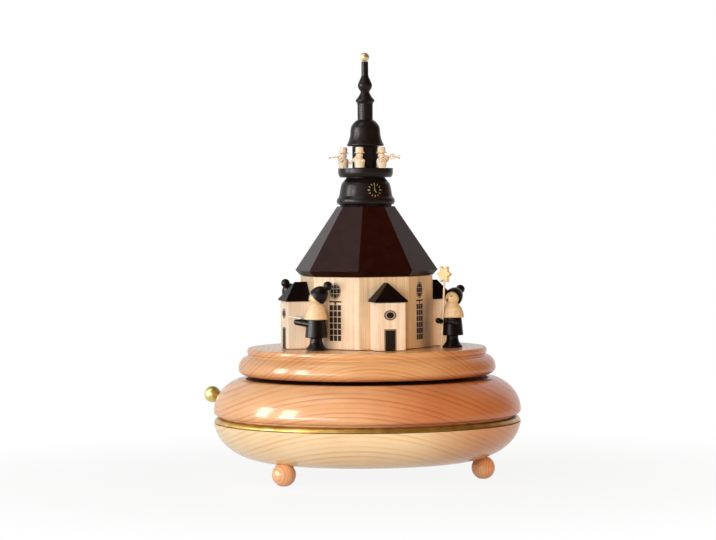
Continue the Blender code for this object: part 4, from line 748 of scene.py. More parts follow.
def plate(width, height, columns=1, rows=1):
    """A flat rectangle in X and Y."""
    shape = bmesh.new()
    bmesh.ops.create_grid(shape, x_segments=columns, y_segments=rows, size=0.5)
    bmesh.ops.scale(shape, verts=shape.verts, vec=(width, height, 1))
    return shape


def round_plate(radius, steps=40):
    """A flat disc in X and Y."""
    shape = bmesh.new()
    bmesh.ops.create_circle(shape, cap_ends=True, radius=radius, segments=steps)
    return shape


def framed(shape, line, keep_panes):
    """Draw a line inside the border of each face, and keep either the panes or the lines."""
    inset = bmesh.ops.inset_individual(shape, faces=shape.faces, thickness=line, use_even_offset=True)
    lines = inset["faces"]
    panes = [face for face in shape.faces if face not in lines]
    bmesh.ops.delete(shape, geom=lines if keep_panes else panes, context="FACES")
    return shape


def round_lattice(radius, across, up, bar_width):
    """A round window's panes: a disc cut by two upright and two level bars."""
    shape = round_plate(radius)
    for direction, offset in ((Vector((1, 0, 0)), across), (Vector((0, 1, 0)), up)):
        for point in (direction * offset, -direction * offset):
            everything = list(shape.verts) + list(shape.edges) + list(shape.faces)
            bmesh.ops.bisect_plane(
                shape, geom=everything, plane_co=point, plane_no=direction, dist=1e-7
            )
    return framed(shape, bar_width, True)


def thickened(shape, thickness):
    """Give a flat shape its thickness towards +Z."""
    grown = bmesh.ops.extrude_face_region(shape, geom=list(shape.faces))
    raised = [item for item in grown["geom"] if isinstance(item, bmesh.types.BMVert)]
    bmesh.ops.translate(shape, verts=raised, vec=(0, 0, thickness))
    bmesh.ops.recalc_face_normals(shape, faces=shape.faces)
    return shape


upright = rotate(90, "X")
panes = framed(plate(LATTICE_WIDTH, LATTICE_HEIGHT, 3, 6), LATTICE_BAR, True)
stem_top = CORNICE_HEIGHT - CORNICE_THICKNESS / 2
stem = stem_top - LATTICE_LOW - LATTICE_HEIGHT
rose_spot = shift(0, ROSE_HEIGHT, 0) @ Matrix.Diagonal((1, ROSE_TALL / ROSE_WIDTH, 1, 1))
window = bmesh.new()
gather(window, panes, shift(0, LATTICE_LOW + LATTICE_HEIGHT / 2, 0))
gather(window, plate(LATTICE_WIDTH, CORNICE_THICKNESS), shift(0, CORNICE_HEIGHT, 0))
gather(window, plate(STEM_WIDTH, stem), shift(0, stem_top - stem / 2, 0))
gather(window, round_lattice(0.44 * ROSE_WIDTH, 1.2 * MM, 1.3 * MM, ROSE_BAR), rose_spot)
gather(window, framed(round_plate(ROSE_WIDTH / 2), ROSE_LINE, False), rose_spot)
thickened(window, INK_THICKNESS)
window_print = bmesh.new()
for heading, aside in WINDOW_ASIDE.items():
    gather(window_print, window.copy(), rotate(heading) @ shift(aside, -wall_distance, stage) @ upright)
window.free()
dark_ink = ink("dark_brown_ink", "#17100D", "#38291F")
finish_piece("window_prints", window_print, dark_ink, "turntable_body", "black_stain")

door_print = bmesh.new()
surround_print = bmesh.new()
leaf_height = DOOR_HEIGHT - DOOR_FRAME
for heading in SIDES.values():
    spot = rotate(heading) @ shift(DOOR_ASIDE, -PORCH_FRONT, stage) @ upright
    oval_spot = spot @ shift(0, OVAL_HEIGHT, 0) @ Matrix.Diagonal((1, OVAL_TALL / OVAL_WIDTH, 1, 1))
    door = thickened(plate(DOOR_WIDTH - 2 * DOOR_FRAME, leaf_height), 2 * INK_THICKNESS)
    gather(door_print, door, spot @ shift(0, leaf_height / 2, 0))
    eye = thickened(round_plate(EYE_SHARE * OVAL_WIDTH / 2, 32), 2 * INK_THICKNESS)
    gather(door_print, eye, oval_spot)
    surround = thickened(plate(DOOR_WIDTH, DOOR_HEIGHT), INK_THICKNESS)
    gather(surround_print, surround, spot @ shift(0, DOOR_HEIGHT / 2, 0))
    ring = thickened(framed(round_plate(OVAL_WIDTH / 2), OVAL_LINE, False), INK_THICKNESS)
    gather(surround_print, ring, oval_spot)
finish_piece("door_prints", door_print, dark_ink, "turntable_body", "black_stain")
thin_ink = ink("thin_brown_ink", "#7A6750", "#9C886B")
finish_piece("door_frame_prints", surround_print, thin_ink, "turntable_body", "black_stain")

# Roofs
# Blocks of limewood sawn to their slopes, the church's stained red-brown and the porches'
# nearly black, under a satin varnish that shows a soft sheen on the turned-away sides.

EAVE_CIRCLE_RADIUS = 46.6 * MM
FASCIA_HEIGHT = 3.5 * MM
ROOF_TOP_CIRCLE_RADIUS = 18.8 * MM
PORCH_OVERHANG = 1.3 * MM
PORCH_FASCIA = 1.0 * MM
PORCH_RIDGE_LENGTH = 8.0 * MM


def stained_wood(name, colour, worn, rough, shine):
    """Stained wood under satin varnish: nearly even, with fine grain and paler rubbed patches."""
    material, tree, shader, place = start_material(name, Specular_IOR_Level=shine)
    fibre = stretched_noise(tree, place, (0.6 * MM, 0.6 * MM, 14 * MM), 3.0)
    patch = add_node(tree, "TexNoise", {"Vector": place, "Scale": 1 / (7 * MM), "Detail": 2.0}, "Fac")
    tone = add_node(tree, "Math", {0: fibre, 1: patch}, "Value", operation="MULTIPLY")
    tone = add_node(
        tree, "MapRange", {"Value": tone, "From Min": 0.15, "From Max": 0.42, "To Max": 0.6}, "Result"
    )
    finish_surface(tree, shader, tone, colour, worn, fibre, rough, (0.3, 0.03 * MM))
    return material


roof_brown = stained_wood("red_brown_roof_stain", "#200905", "#32120B", (0.24, 0.36), 0.09)
roof_black = stained_wood("black_roof_stain", "#0D0604", "#1A0F0B", (0.34, 0.46), 0.06)
roof_low, roof_high = levels("church_roof")
profile = [
    (0, roof_high), (ROOF_TOP_CIRCLE_RADIUS, roof_high),
    (EAVE_CIRCLE_RADIUS, roof_low + FASCIA_HEIGHT), (WALL_CIRCLE_RADIUS, roof_low), (0, roof_low),
]
finish_piece(
    "octagon_roof", eight_sided(profile), roof_brown, "turntable_body", "brown_roof_stain",
    "church_roof", edge=0.3 * MM,
)
porch_roof_low, ridge = levels("porch_roof_front")
half = PORCH_HALF_WIDTH + PORCH_OVERHANG
far = PORCH_FRONT + PORCH_OVERHANG
corners = [(0, -porch_back, ridge), (0, -porch_back - PORCH_RIDGE_LENGTH, ridge)]
for height in (porch_roof_low, porch_roof_low + PORCH_FASCIA):
    for across in (-half, half):
        corners += [(across, -porch_back, height), (across, -far, height)]
for side, heading in SIDES.items():
    hip = bmesh.new()
    for corner in corners:
        hip.verts.new(corner)
    bmesh.ops.convex_hull(hip, input=hip.verts)
    bmesh.ops.dissolve_limit(hip, angle_limit=math.radians(1), verts=hip.verts, edges=hip.edges)
    finish_piece(
        "porch_hip_" + side, placed(hip, rotate(heading)), roof_black, "turntable_body",
        "black_stain", "porch_roof_" + side, edge=0.2 * MM,
    )

# Tower
# Four turned pieces of limewood stained brown-black and polished to a satin: the bell-shaped
# foot, the gallery, the column behind the players, and the dome drawn up to a spire.

TOWER_STEPS = 96
SEATED = GAP - 0.02 * MM  # a glued piece goes down onto the one that carries it
BELL_RADIUS = 16.6 * MM
# the bell's radius in millimetres, and the share of its height at which it lies
BELL_CURVE = (
    (12.6, 1.0), (13.2, 0.955), (14.5, 0.875), (15.7, 0.78), (16.5, 0.6), (16.9, 0.47), (17.4, 0.34),
)
NECK_RADIUS = 12.6 * MM
GALLERY_RADIUS = 17.8 * MM
COLUMN_RADIUS = 8.6 * MM
DOME_RADIUS = 12.0 * MM
LANTERN_RADIUS = 5.0 * MM
BALL_RADIUS = 2.95 * MM
BALL_FLAT = 0.6  # the ball stands on a flat of this part of its radius


def fair(points, steps=5):
    """A fair curve through the points of a turned profile."""
    ends = [points[0]] + list(points) + [points[-1]]
    curve = []
    for before, first, last, after in zip(ends, ends[1:], ends[2:], ends[3:]):
        for step in range(steps):
            t = step / steps
            curve.append(tuple(
                0.5 * (2 * b + (c - a) * t + (2 * a - 5 * b + 4 * c - d) * t**2
                       + (3 * b - a - 3 * c + d) * t**3)
                for a, b, c, d in zip(before, first, last, after)
            ))
    return curve + [tuple(points[-1])]


def in_mm(points, base=0.0):
    """Profile points written in millimetres, their heights counted from a base."""
    return [(radius * MM, base + height * MM) for radius, height in points]


tower_black = stained_wood("brown_black_stain", "#150F0C", "#241A16", (0.24, 0.36), 0.16)
low, high = levels("clock_storey")
tall = high - low
profile = [(0, high)] + fair([(radius * MM, low + share * tall) for radius, share in BELL_CURVE])
profile += arc((BELL_RADIUS + 1.0 * MM, low + 0.17 * tall), 1.3 * MM, 2.2 * MM, 70, -60, 10)
profile += [(BELL_RADIUS + 0.4 * MM, low + 0.04 * tall), (BELL_RADIUS, low - SEATED), (0, low - SEATED)]
bell = turned(profile, TOWER_STEPS)
finish_piece("tower_foot", bell, tower_black, "turntable_body", "black_stain", "clock_storey", edge=FINE_EDGE)

low, high = levels("balcony")
thick = high - low
profile = [(0, high)]
profile += arc((GALLERY_RADIUS - 0.4 * MM, high - 0.4 * MM), 0.4 * MM, 0.4 * MM, 90, 0, 4)
profile += arc((GALLERY_RADIUS - 0.3 * thick, low + 0.6 * thick), 0.3 * thick, 0.6 * thick, 0, -90, 14)
profile += [(NECK_RADIUS, low), (NECK_RADIUS, low - SEATED), (0, low - SEATED)]
gallery = turned(profile, TOWER_STEPS)
finish_piece("gallery", gallery, tower_black, "turntable_body", "black_stain", "balcony")

low, high = levels("tower_drum")
low -= SEATED
high += SEATED / 2
column = turned([(0, high), (COLUMN_RADIUS, high), (COLUMN_RADIUS, low), (0, low)], TOWER_STEPS)
finish_piece(
    "tower_column", column, tower_black, "turntable_body", "black_stain", "tower_drum",
    edge=FINE_EDGE,
)

low, high = levels("tower_cap")
shoulder = low + 17.0 * MM
spire = shoulder + 11.2 * MM
profile = [(0, high)] + arc((1.7 * MM, high - 0.5 * MM), 0.5 * MM, 0.5 * MM, 90, 0, 3)
profile += fair(in_mm([
    (2.25, 18.8), (2.4, 17.2), (3.5, 14.6), (4.5, 12.2), (4.65, 11.0), (4.2, 9.2), (3.0, 7.4),
    (2.95, 6.6), (4.2, 4.2), (6.0, 1.9),
], spire))
profile += arc((5.8 * MM, spire + 1.2 * MM), 0.4 * MM, 0.6 * MM, 60, -70, 6)
profile += [
    (LANTERN_RADIUS + 0.3 * MM, spire), (LANTERN_RADIUS, spire - 1.2 * MM),
    (LANTERN_RADIUS - 0.05 * MM, shoulder + 0.2 * MM), (5.4 * MM, shoulder),
]
profile += fair(in_mm([
    (6.9, -1.1), (8.2, -2.6), (9.2, -4.4), (9.6, -6.4), (9.9, -9.8), (10.6, -12.8), (11.7, -15.4),
], shoulder))
profile += arc((DOME_RADIUS - 0.8 * MM, low + 0.9 * MM), 0.8 * MM, 0.9 * MM, 40, -80, 8) + [(0, low)]
dome = turned(profile, TOWER_STEPS)
finish_piece("dome_and_spire", dome, tower_black, "turntable_body", "black_stain", "tower_cap")

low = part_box("spire_ball")[0].z
flat = math.asin(BALL_FLAT)
centre = low + BALL_RADIUS * math.cos(flat)
profile = arc((0, centre), BALL_RADIUS, BALL_RADIUS, 90, -90 + math.degrees(flat), 20) + [(0, low)]
spire_gilt = gold_bronze("gold_bronze_spire_ball", "#E3CD97", "#C9AC6C")
finish_piece("gilt_ball", turned(profile, 40), spire_gilt, "turntable_body", "gilding", "spire_ball")

# Clock face
# Twelve marks and two hands stamped in gold on the stained wood of the tower's foot, with no
# dial under them. They follow the curve of the wood.

CLOCK_HEADING = 4.3
CLOCK_RADIUS = 4.5 * MM
CLOCK_SHARE = 0.56  # where its centre lies in the bell's height
MARK_LENGTH = 1.1 * MM
MARK_WIDTH = 0.5 * MM
QUARTER_SIZE = 1.35  # the marks at the quarters are larger
# length, width and clockwise angle from twelve
HANDS = {"hour": (2.4 * MM, 0.55 * MM, 150.0), "minute": (3.2 * MM, 0.45 * MM, 0.0)}
HAND_TAIL = 0.4 * MM
HUB_RADIUS = 0.5 * MM
FOIL_THICKNESS = 0.08 * MM
# shares of the bell's height, and its radius there in millimetres, a hair outside its curve
CLOCK_GROUND = ((0.3, 17.7), (0.47, 16.92), (0.6, 16.52), (0.78, 15.72), (0.875, 14.55))

clock_low, clock_high = levels("clock_storey")
clock_centre = clock_low + CLOCK_SHARE * (clock_high - clock_low)
marks = bmesh.new()
for hour in range(12):
    size = 1.0 if hour % 3 else QUARTER_SIZE
    spot = rotate(-30 * hour) @ shift(0, CLOCK_RADIUS - MARK_LENGTH / 2, 0)
    gather(marks, plate(size * MARK_WIDTH, size * MARK_LENGTH), spot)
for length, width, angle in HANDS.values():
    gather(marks, plate(width, length), rotate(-angle) @ shift(0, length / 2 - HAND_TAIL, 0))
gather(marks, round_plate(HUB_RADIUS, 16), Matrix.Identity(4))
bmesh.ops.subdivide_edges(marks, edges=list(marks.edges), cuts=2, use_grid_fill=True)
thickened(marks, FOIL_THICKNESS)
for vert in marks.verts:
    x, height, stand = vert.co
    share = (clock_centre + height - clock_low) / (clock_high - clock_low)
    for (share_low, radius_low), (share_high, radius_high) in zip(CLOCK_GROUND, CLOCK_GROUND[1:]):
        if share_low <= share <= share_high:
            part = (share - share_low) / (share_high - share_low)
            ground = (radius_low + part * (radius_high - radius_low)) * MM
    vert.co = (x, -math.sqrt(ground**2 - x**2) - stand - 0.01 * MM, clock_centre + height)
bmesh.ops.recalc_face_normals(marks, faces=marks.faces)
placed(marks, rotate(CLOCK_HEADING))
foil = gold_bronze("gold_foil_print", "#FFEDB8", "#F0D48C")
finish_piece("clock_marks", marks, foil, "turntable_body", "gilding")

# Tower musicians
# Three players turned in bare limewood, hat, head and coat in one, with arms and a small horn
# glued on. They stand on the gallery and look out over its edge.

PLAYER_HEIGHT = 13.2 * MM
PLAYER_CIRCLE_RADIUS = 14.3 * MM
# heading of each player, heading of the horn, how far and how high its bell is, the bell
PLAYERS = {
    "horn_player": (-107.0, -110.0, 9.4 * MM, 6.4 * MM, 0.8 * MM),
    "hornist": (-32.0, -100.0, 6.6 * MM, 2.6 * MM, 1.6 * MM),
    "trumpeter": (30.0, 65.0, 11.8 * MM, 6.6 * MM, 1.4 * MM),
}


def between(start, end, profile, steps):
    """Turn a profile about the line from one point to another."""
    aim = shift(*start) @ (end - start).to_track_quat("Z", "Y").to_matrix().to_4x4()
    return placed(turned(profile, steps), aim)


def bar(start, end, radius, end_radius, steps=16):
    """A round bar between two points, its ends rounded."""
    long = (end - start).length
    profile = arc((0, long - end_radius), end_radius, end_radius, 90, 0, 5)
    profile += arc((0, radius), radius, radius, 0, -90, 5)
    return between(start, end, profile, steps)


def horn(start, end, tube, bell):
    """A small turned horn with an open bell."""
    long = (end - start).length
    outside = fair([
        (bell, long), (0.72 * bell, 0.93 * long), (0.45 * bell, 0.82 * long),
        (0.3 * bell + 0.4 * tube, 0.65 * long), (tube, 0.4 * long), (tube, 0.02 * long),
    ], 3)
    inside = [(0, 0.7 * long), (0.25 * bell, 0.8 * long), (0.75 * bell, 0.96 * long)]
    return between(start, end, inside + outside + [(0, 0)], 20)


# hat, brim, head, shoulders and coat, from the top down
player_profile = [(0, PLAYER_HEIGHT)]
player_profile += arc((2.0 * MM, PLAYER_HEIGHT - 0.5 * MM), 0.5 * MM, 0.5 * MM, 90, 0, 3)
player_profile += in_mm([(2.6, 9.95)])
player_profile += arc((3.2 * MM, 9.5 * MM), 0.3 * MM, 0.25 * MM, 90, -90, 6)
player_profile += arc((0, 7.75 * MM), 2.25 * MM, 2.25 * MM, 42, -50, 8)
player_profile += fair(
    in_mm([(1.7, 6.0), (2.5, 5.75), (3.05, 5.2), (3.3, 4.2), (3.25, 2.4), (3.1, 0.0)]), 4
)
player_profile.append((0, 0))
player_lime = limewood("limewood_figures", "#F0DAC0", "#D6B995", streak=0.5 * MM, length=9 * MM)
gallery_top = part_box("balcony")[1].z + GAP
for name, (heading, horn_heading, reach, height, bell_radius) in PLAYERS.items():
    mouth = along(horn_heading, 1.7 * MM, 7.6 * MM)
    bell = along(horn_heading, reach, height)
    tools = [horn(mouth, bell, 0.45 * MM, bell_radius)]
    for side in (-90, 90):
        shoulder = along(heading + side, 2.6 * MM, 5.0 * MM)
        elbow = along(heading + 0.69 * side, 4.1 * MM, 3.9 * MM)
        tools.append(bar(shoulder, elbow, 0.8 * MM, 0.8 * MM))
        tools.append(bar(elbow, mouth.lerp(bell, 0.3), 0.75 * MM, 0.7 * MM))
    if name == "trumpeter":
        loop = turned(arc((1.55 * MM, 0), 0.4 * MM, 0.4 * MM, 0, 330, 11), 24)
        tools.append(placed(loop, shift(*mouth.lerp(bell, 0.5)) @ rotate(horn_heading - 90) @ upright))
    player = carved(turned(player_profile, 32), tools, "UNION")
    placed(player, shift(*along(heading, PLAYER_CIRCLE_RADIUS, gallery_top)))
    finish_piece(name + "_figure", player, player_lime, "turntable_body", "limewood", name)

# Carol singers
# Turned figures in three pieces: legs and coat stained black with the arms let in, a cape with
# the head in bare limewood, and a black cap with its bobble. Each holds an open song book.

FIGURE_STEPS = 48
FIGURE_EDGE = 0.12 * MM
HEM_HEIGHT = 19.4 * MM
HEAD_RADIUS = 4.5 * MM
HEAD_HEIGHT = 32.7 * MM
CAP_RADIUS = 5.8 * MM
CAP_LENGTH = 8.4 * MM
CAP_RIM_ANGLE = 15.0
BOBBLE_RADIUS = 2.9 * MM
BOBBLE_DISTANCE = 11.7 * MM
ARM_RADIUS = 1.85 * MM
ARM_REACH = 14.0 * MM
ARM_RISE = 2.2 * MM
SHOULDER_SPREAD = 4.4 * MM
HAND_SPREAD = 3.0 * MM
SINGER_CAP_TILT = 46.0
BEARER_CAP_TILT = 61.0
# heading on the turntable, distance from the axis, heading that the figure looks to, cap tilt,
# and how much lower the head sits
FIGURES = {
    "singer_front": (-56.5, 50.0 * MM, -130.0, SINGER_CAP_TILT, 0.0),
    "singer_left": (-135.0, 56.0 * MM, 135.0, SINGER_CAP_TILT, 0.0),
    "singer_rear": (135.0, 56.0 * MM, 45.0, SINGER_CAP_TILT, 0.0),
    "star_bearer": (53.7, 58.6 * MM, -49.0, BEARER_CAP_TILT, 1.2 * MM),
}
# two eyes and a round singing mouth: how far each is turned aside and raised in degrees, and
# half its width and height in millimetres
FACE = ((-50, 22, 0.9, 0.45), (24, 22, 0.9, 0.45), (-13, -10, 0.7, 0.9))
POLE_RADIUS = 0.65 * MM
POLE_LENGTH = 43.6 * MM
POLE_REACH = 8.0 * MM
POLE_LEAN = 3.6


def arm_ends(side):
    """Shoulder and hand of an arm that reaches forward and a little up."""
    low = HEM_HEIGHT - 2 * GAP - ARM_RADIUS - ARM_RISE / 2
    return (
        Vector((side * SHOULDER_SPREAD, 0, low)),
        Vector((side * HAND_SPREAD, -ARM_REACH, low + ARM_RISE)),
    )


def standing(name):
    """Where a figure stands on the turntable, turned the way it looks."""
    heading, distance, looks_to, *_ = FIGURES[name]
    return shift(*along(heading, distance, stage)) @ rotate(looks_to)


figure_black = stained_wood("brown_black_figures", "#0C0403", "#190B08", (0.24, 0.36), 0.2)
figure_lime = limewood("limewood_capes", "#EDCFA4", "#CFA877", streak=0.7 * MM, length=16 * MM)
eye_paint = ink("dark_brown_paint", "#3A1E12", "#4A2A1C")
shoulder, hand = arm_ends(-1)
grip = shoulder.lerp(hand, POLE_REACH / ARM_REACH)
pole_lean = shift(grip.x, grip.y, 0) @ rotate(POLE_LEAN, "Y")
coat_profile = [(0, HEM_HEIGHT - GAP), (6.0 * MM, HEM_HEIGHT - GAP)]
coat_profile += in_mm([(7.05, 8.4), (6.8, 8.0), (4.2, 7.85)])
coat_profile += fair(in_mm([(3.8, 7.5), (3.8, 6.0), (4.2, 4.2), (5.3, 2.3), (6.2, 1.3), (6.5, 0.7)]))
coat_profile += in_mm([(6.4, 0), (0, 0)])
inner = HEAD_RADIUS + GAP
rim = inner * math.sin(math.radians(CAP_RIM_ANGLE))
cap_profile = arc((0, BOBBLE_DISTANCE), BOBBLE_RADIUS, BOBBLE_RADIUS, 90, -48, 16)
cap_profile += arc((0, rim), CAP_RADIUS, CAP_LENGTH, 68, 0, 16)
cap_profile += arc((0, 0), inner, inner, CAP_RIM_ANGLE, 90, 10)
for name, (*_, tilt, lower) in FIGURES.items():
    spot = standing(name)
    arms = [bar(*arm_ends(side), ARM_RADIUS, ARM_RADIUS, 20) for side in (-1, 1)]
    coat = carved(turned(coat_profile, FIGURE_STEPS), arms, "UNION")
    if name == "star_bearer":
        radius = POLE_RADIUS + GAP
        hole = turned([(0, POLE_LENGTH), (radius, POLE_LENGTH), (radius, 0), (0, 0)], 20)
        coat = carved(coat, [placed(hole, pole_lean)])
    finish_piece(
        name + "_robe", placed(coat, spot), figure_black, "turntable_body", "black_stain",
        name + "_coat", edge=FIGURE_EDGE,
    )
    head_height = HEAD_HEIGHT - lower
    profile = arc((0, head_height), HEAD_RADIUS, HEAD_RADIUS, 90, -40, 20)
    profile += fair(
        in_mm([(4.15, -3.5), (4.9, -4.7)], head_height)
        + in_mm([(6.2, 5.8), (7.1, 2.6), (7.55, 0.5)], HEM_HEIGHT)
    )
    profile += in_mm([(7.3, 0), (0, 0)], HEM_HEIGHT)
    finish_piece(
        name + "_cape", placed(turned(profile, FIGURE_STEPS), spot), figure_lime, "turntable_body",
        "limewood", name + "_head", edge=0.1 * MM,
    )
    head = spot @ shift(0, 0, head_height)
    finish_piece(
        name + "_bobble_cap", placed(turned(cap_profile, FIGURE_STEPS), head @ rotate(-tilt, "X")),
        figure_black, "turntable_body", "black_stain", name + "_cap", edge=FIGURE_EDGE,
    )
    # dabs of paint that stand a hair off the wood
    face = bmesh.new()
    for turn, rise, wide, tall in FACE:
        dab = bmesh.new()
        bmesh.ops.create_uvsphere(dab, u_segments=16, v_segments=8, radius=MM)
        bmesh.ops.scale(dab, verts=dab.verts, vec=(wide, 0.15, tall))
        gather(face, dab, head @ rotate(turn) @ rotate(-rise, "X") @ shift(0, -HEAD_RADIUS, 0))
    finish_piece(name + "_face", face, eye_paint, "turntable_body", "black_stain")

# Song books
# Thin slips of limewood painted white, folded open and laid on the arms, with the staves
# ruled on them in fine grey lines.

SINGERS = ("singer_front", "singer_left", "singer_rear")
BOOK_WIDTH = 11.0 * MM
BOOK_DEPTH = 8.6 * MM
BOOK_NEAR = 8.2 * MM  # from the figure's axis to the book's near edge
LEAF_THICKNESS = 0.65 * MM
BOOK_FOLD = 8.0
STAVE_LENGTH = 3.9 * MM
STAVE_WIDTH = 0.22 * MM
STAVE_ASIDE = 2.85 * MM
STAVE_PITCH = 2.1 * MM


def bowed(shape, height=0.0):
    """Lay a flat shape over two leaves that rise from the fold and bow a little on the way."""
    rise = BOOK_WIDTH / 2 * math.tan(math.radians(BOOK_FOLD))
    for vert in shape.verts:
        share = abs(vert.co.x) / (BOOK_WIDTH / 2)
        vert.co.z = height + rise * (share + 0.25 * math.sin(math.pi * share) * share)
    return shape


def book_paint(name):
    """White paint on thin wood, matt, a little yellowed, with a soft brush mark."""
    material, tree, shader, place = start_material(name)
    brush = add_node(tree, "TexNoise", {"Vector": place, "Scale": 1 / (1.5 * MM), "Detail": 3.0}, "Fac")
    finish_surface(tree, shader, brush, "#F6F1E2", "#E6DEC8", brush, (0.55, 0.75), (0.2, 0.02 * MM))
    return material


book_white = book_paint("white_book_paint")
slope = math.atan2(ARM_RISE, ARM_REACH)
shoulder, hand = arm_ends(1)
on_arm = shoulder.lerp(hand, BOOK_NEAR / ARM_REACH)
fold_height = on_arm.z + ARM_RADIUS / math.cos(slope) + 0.2 * MM
fold_height -= (hand.x - ARM_RADIUS) * math.tan(math.radians(BOOK_FOLD))
lay = shift(0, -BOOK_NEAR, fold_height) @ Matrix.Rotation(-slope, 4, "X") @ shift(0, -BOOK_DEPTH / 2, 0)
for name in SINGERS:
    spot = standing(name) @ lay
    book = thickened(bowed(plate(BOOK_WIDTH, BOOK_DEPTH, 8, 1)), LEAF_THICKNESS)
    finish_piece(
        name + "_song_book", placed(book, spot), book_white, "turntable_body", "painted_book",
        name + "_book", edge=0.08 * MM,
    )
    staves = bmesh.new()
    for row in (-1, 0, 1):
        for side in (-1, 1):
            stave = plate(STAVE_LENGTH, STAVE_WIDTH, 4, 1)
            gather(staves, stave, shift(side * STAVE_ASIDE, row * STAVE_PITCH, 0))
    thickened(bowed(staves, LEAF_THICKNESS + 0.01 * MM), 0.03 * MM)
    finish_piece(name + "_staves", placed(staves, spot), thin_ink, "turntable_body", "black_stain")

# Star and pole
# A stick of bare limewood through the leader's hand, with a six-pointed star sawn from thin
# wood and painted pale gold on its tip.

STAR_RADIUS = 5.9 * MM
STAR_INNER_RADIUS = 3.5 * MM
STAR_THICKNESS = 2.6 * MM
STAR_POINTS = 6
STAR_FACING = -59.0

pole_spot = standing("star_bearer") @ pole_lean
stick = turned([(0, POLE_LENGTH), (POLE_RADIUS, POLE_LENGTH), (POLE_RADIUS, 0), (0, 0)], 24)
finish_piece(
    "star_stick", placed(stick, pole_spot), player_lime, "turntable_body", "limewood", "star_pole",
    edge=0.1 * MM,
)
star = bmesh.new()
corners = []
for corner in range(2 * STAR_POINTS):
    angle = math.pi * corner / STAR_POINTS
    radius = STAR_RADIUS if corner % 2 else STAR_INNER_RADIUS
    corners.append(star.verts.new((radius * math.sin(angle), radius * math.cos(angle), -STAR_THICKNESS / 2)))
star.faces.new(corners)
thickened(star, STAR_THICKNESS)
centre = pole_spot @ Vector((0, 0, POLE_LENGTH))
centre.z += POLE_RADIUS * math.sin(math.radians(POLE_LEAN)) + GAP + STAR_INNER_RADIUS
star_yellow = stained_wood("pale_gold_star_paint", "#F4DBA2", "#E8CB8A", (0.4, 0.55), 0.4)
finish_piece(
    "painted_star", placed(star, shift(*centre) @ rotate(STAR_FACING) @ upright), star_yellow,
    "turntable_body", "star_yellow", "star", edge=0.25 * MM,
)

# Floor
# A plain white table top. Near the object it keeps the soft shadow, and it turns to even
# white farther out and towards the horizon.

FLOOR_SIZE = 8.0
SHADOW_NEAR = 0.12
SHADOW_FAR = 0.4

floor_shape = bmesh.new()
bmesh.ops.create_grid(floor_shape, x_segments=1, y_segments=1, size=FLOOR_SIZE / 2)
floor = loose_object("floor", floor_shape)
material, tree, shader, place = start_material("white_table", Roughness=0.9, Specular_IOR_Level=0.1)
shader.inputs["Base Color"].default_value = linear("#CFCCC8")
reach = add_node(tree, "VectorMath", {0: place}, "Value", operation="LENGTH")
fade = add_node(
    tree, "MapRange",
    {"Value": reach, "From Min": SHADOW_NEAR, "From Max": SHADOW_FAR, "To Min": 0.9}, "Result",
    interpolation_type="SMOOTHSTEP",
)
rays = add_node(tree, "LightPath").outputs
seen = add_node(
    tree, "Math", {0: rays["Is Camera Ray"], 1: rays["Is Glossy Ray"]}, "Value", operation="MAXIMUM"
)
seen = add_node(tree, "Math", {0: seen, 1: rays["Is Transmission Ray"]}, "Value", operation="MAXIMUM")
share = add_node(tree, "Math", {0: seen, 1: fade}, "Value", operation="MULTIPLY")
white = add_node(tree, "Emission", {"Strength": 1.0}, "Emission")
mix = add_node(tree, "MixShader", {0: share, 1: shader.outputs["BSDF"], 2: white}, "Shader")
tree.links.new(mix, tree.nodes["Material Output"].inputs["Surface"])
floor.data.materials.append(material)

# Light
# A pale studio that goes dim and warm at the right, and dim overhead. Two tall windows and a
# low strip at the left throw the highlights, a soft box in front and a warm reflector at the
# right light the wood without one, and a weak lamp hangs over the object.

WORLD_FILL = 0.22
DIM_HEADING = 44.0  # the studio is darkest to the right of the camera, and overhead
DIM_LEVEL = 0.1
WARM_WALL = "#F2C79C"
# heading, distance, height, width, height of the lamp's face in metres, power in watts, colour
LAMPS = {
    "tall_window_left": (-99.0, 1.5, 0.42, 0.32, 0.74, 16.0, "#FFFFFF"),
    "tall_window_near": (-76.0, 1.5, 0.42, 0.32, 0.74, 16.0, "#FFFFFF"),
    "low_strip": (-62.0, 1.6, 0.14, 1.4, 0.14, 12.0, "#FFFFFF"),
    "soft_box": (-46.0, 1.6, 0.4, 1.6, 0.7, 23.0, "#FFFFFF"),
    "overhead": (-80.0, 0.9, 1.7, 1.0, 1.0, 9.0, "#FFFFFF"),
    "warm_reflector": (46.0, 1.8, 0.6, 1.2, 0.9, 15.0, "#FFD8AC"),
}
MATT_LAMPS = ("soft_box", "warm_reflector")  # these light the object but throw no highlight
HIGHLIGHT_LAMPS = ("tall_window_left", "tall_window_near", "low_strip")  # these throw nothing else
TARGET = Vector((0.0, 0.0, 0.1))

world = bpy.data.worlds.new("studio")
bpy.context.scene.world = world
world.use_nodes = True
tree = world.node_tree
tree.nodes.clear()
rays = add_node(tree, "LightPath").outputs
seen = add_node(
    tree, "Math", {0: rays["Is Camera Ray"], 1: rays["Is Transmission Ray"]}, "Value",
    operation="MAXIMUM",
)
outward = add_node(tree, "TexCoord", output="Generated")
towards_dim = add_node(
    tree, "VectorMath", {0: outward, 1: along(DIM_HEADING, 1.0)}, "Value", operation="DOT_PRODUCT"
)
upward = add_node(tree, "SeparateXYZ", {"Vector": outward}, "Z")
beside, above = (
    add_node(
        tree, "MapRange", {"Value": direction, "From Min": begins, "From Max": ends}, "Result",
        interpolation_type="SMOOTHSTEP",
    )
    for direction, begins, ends in ((towards_dim, 0.0, 0.75), (upward, 0.38, 0.88))
)
dim = add_node(tree, "Math", {0: beside, 1: above}, "Value", operation="MAXIMUM")
level = add_node(tree, "MapRange", {"Value": dim, "To Min": 1.0, "To Max": DIM_LEVEL}, "Result")
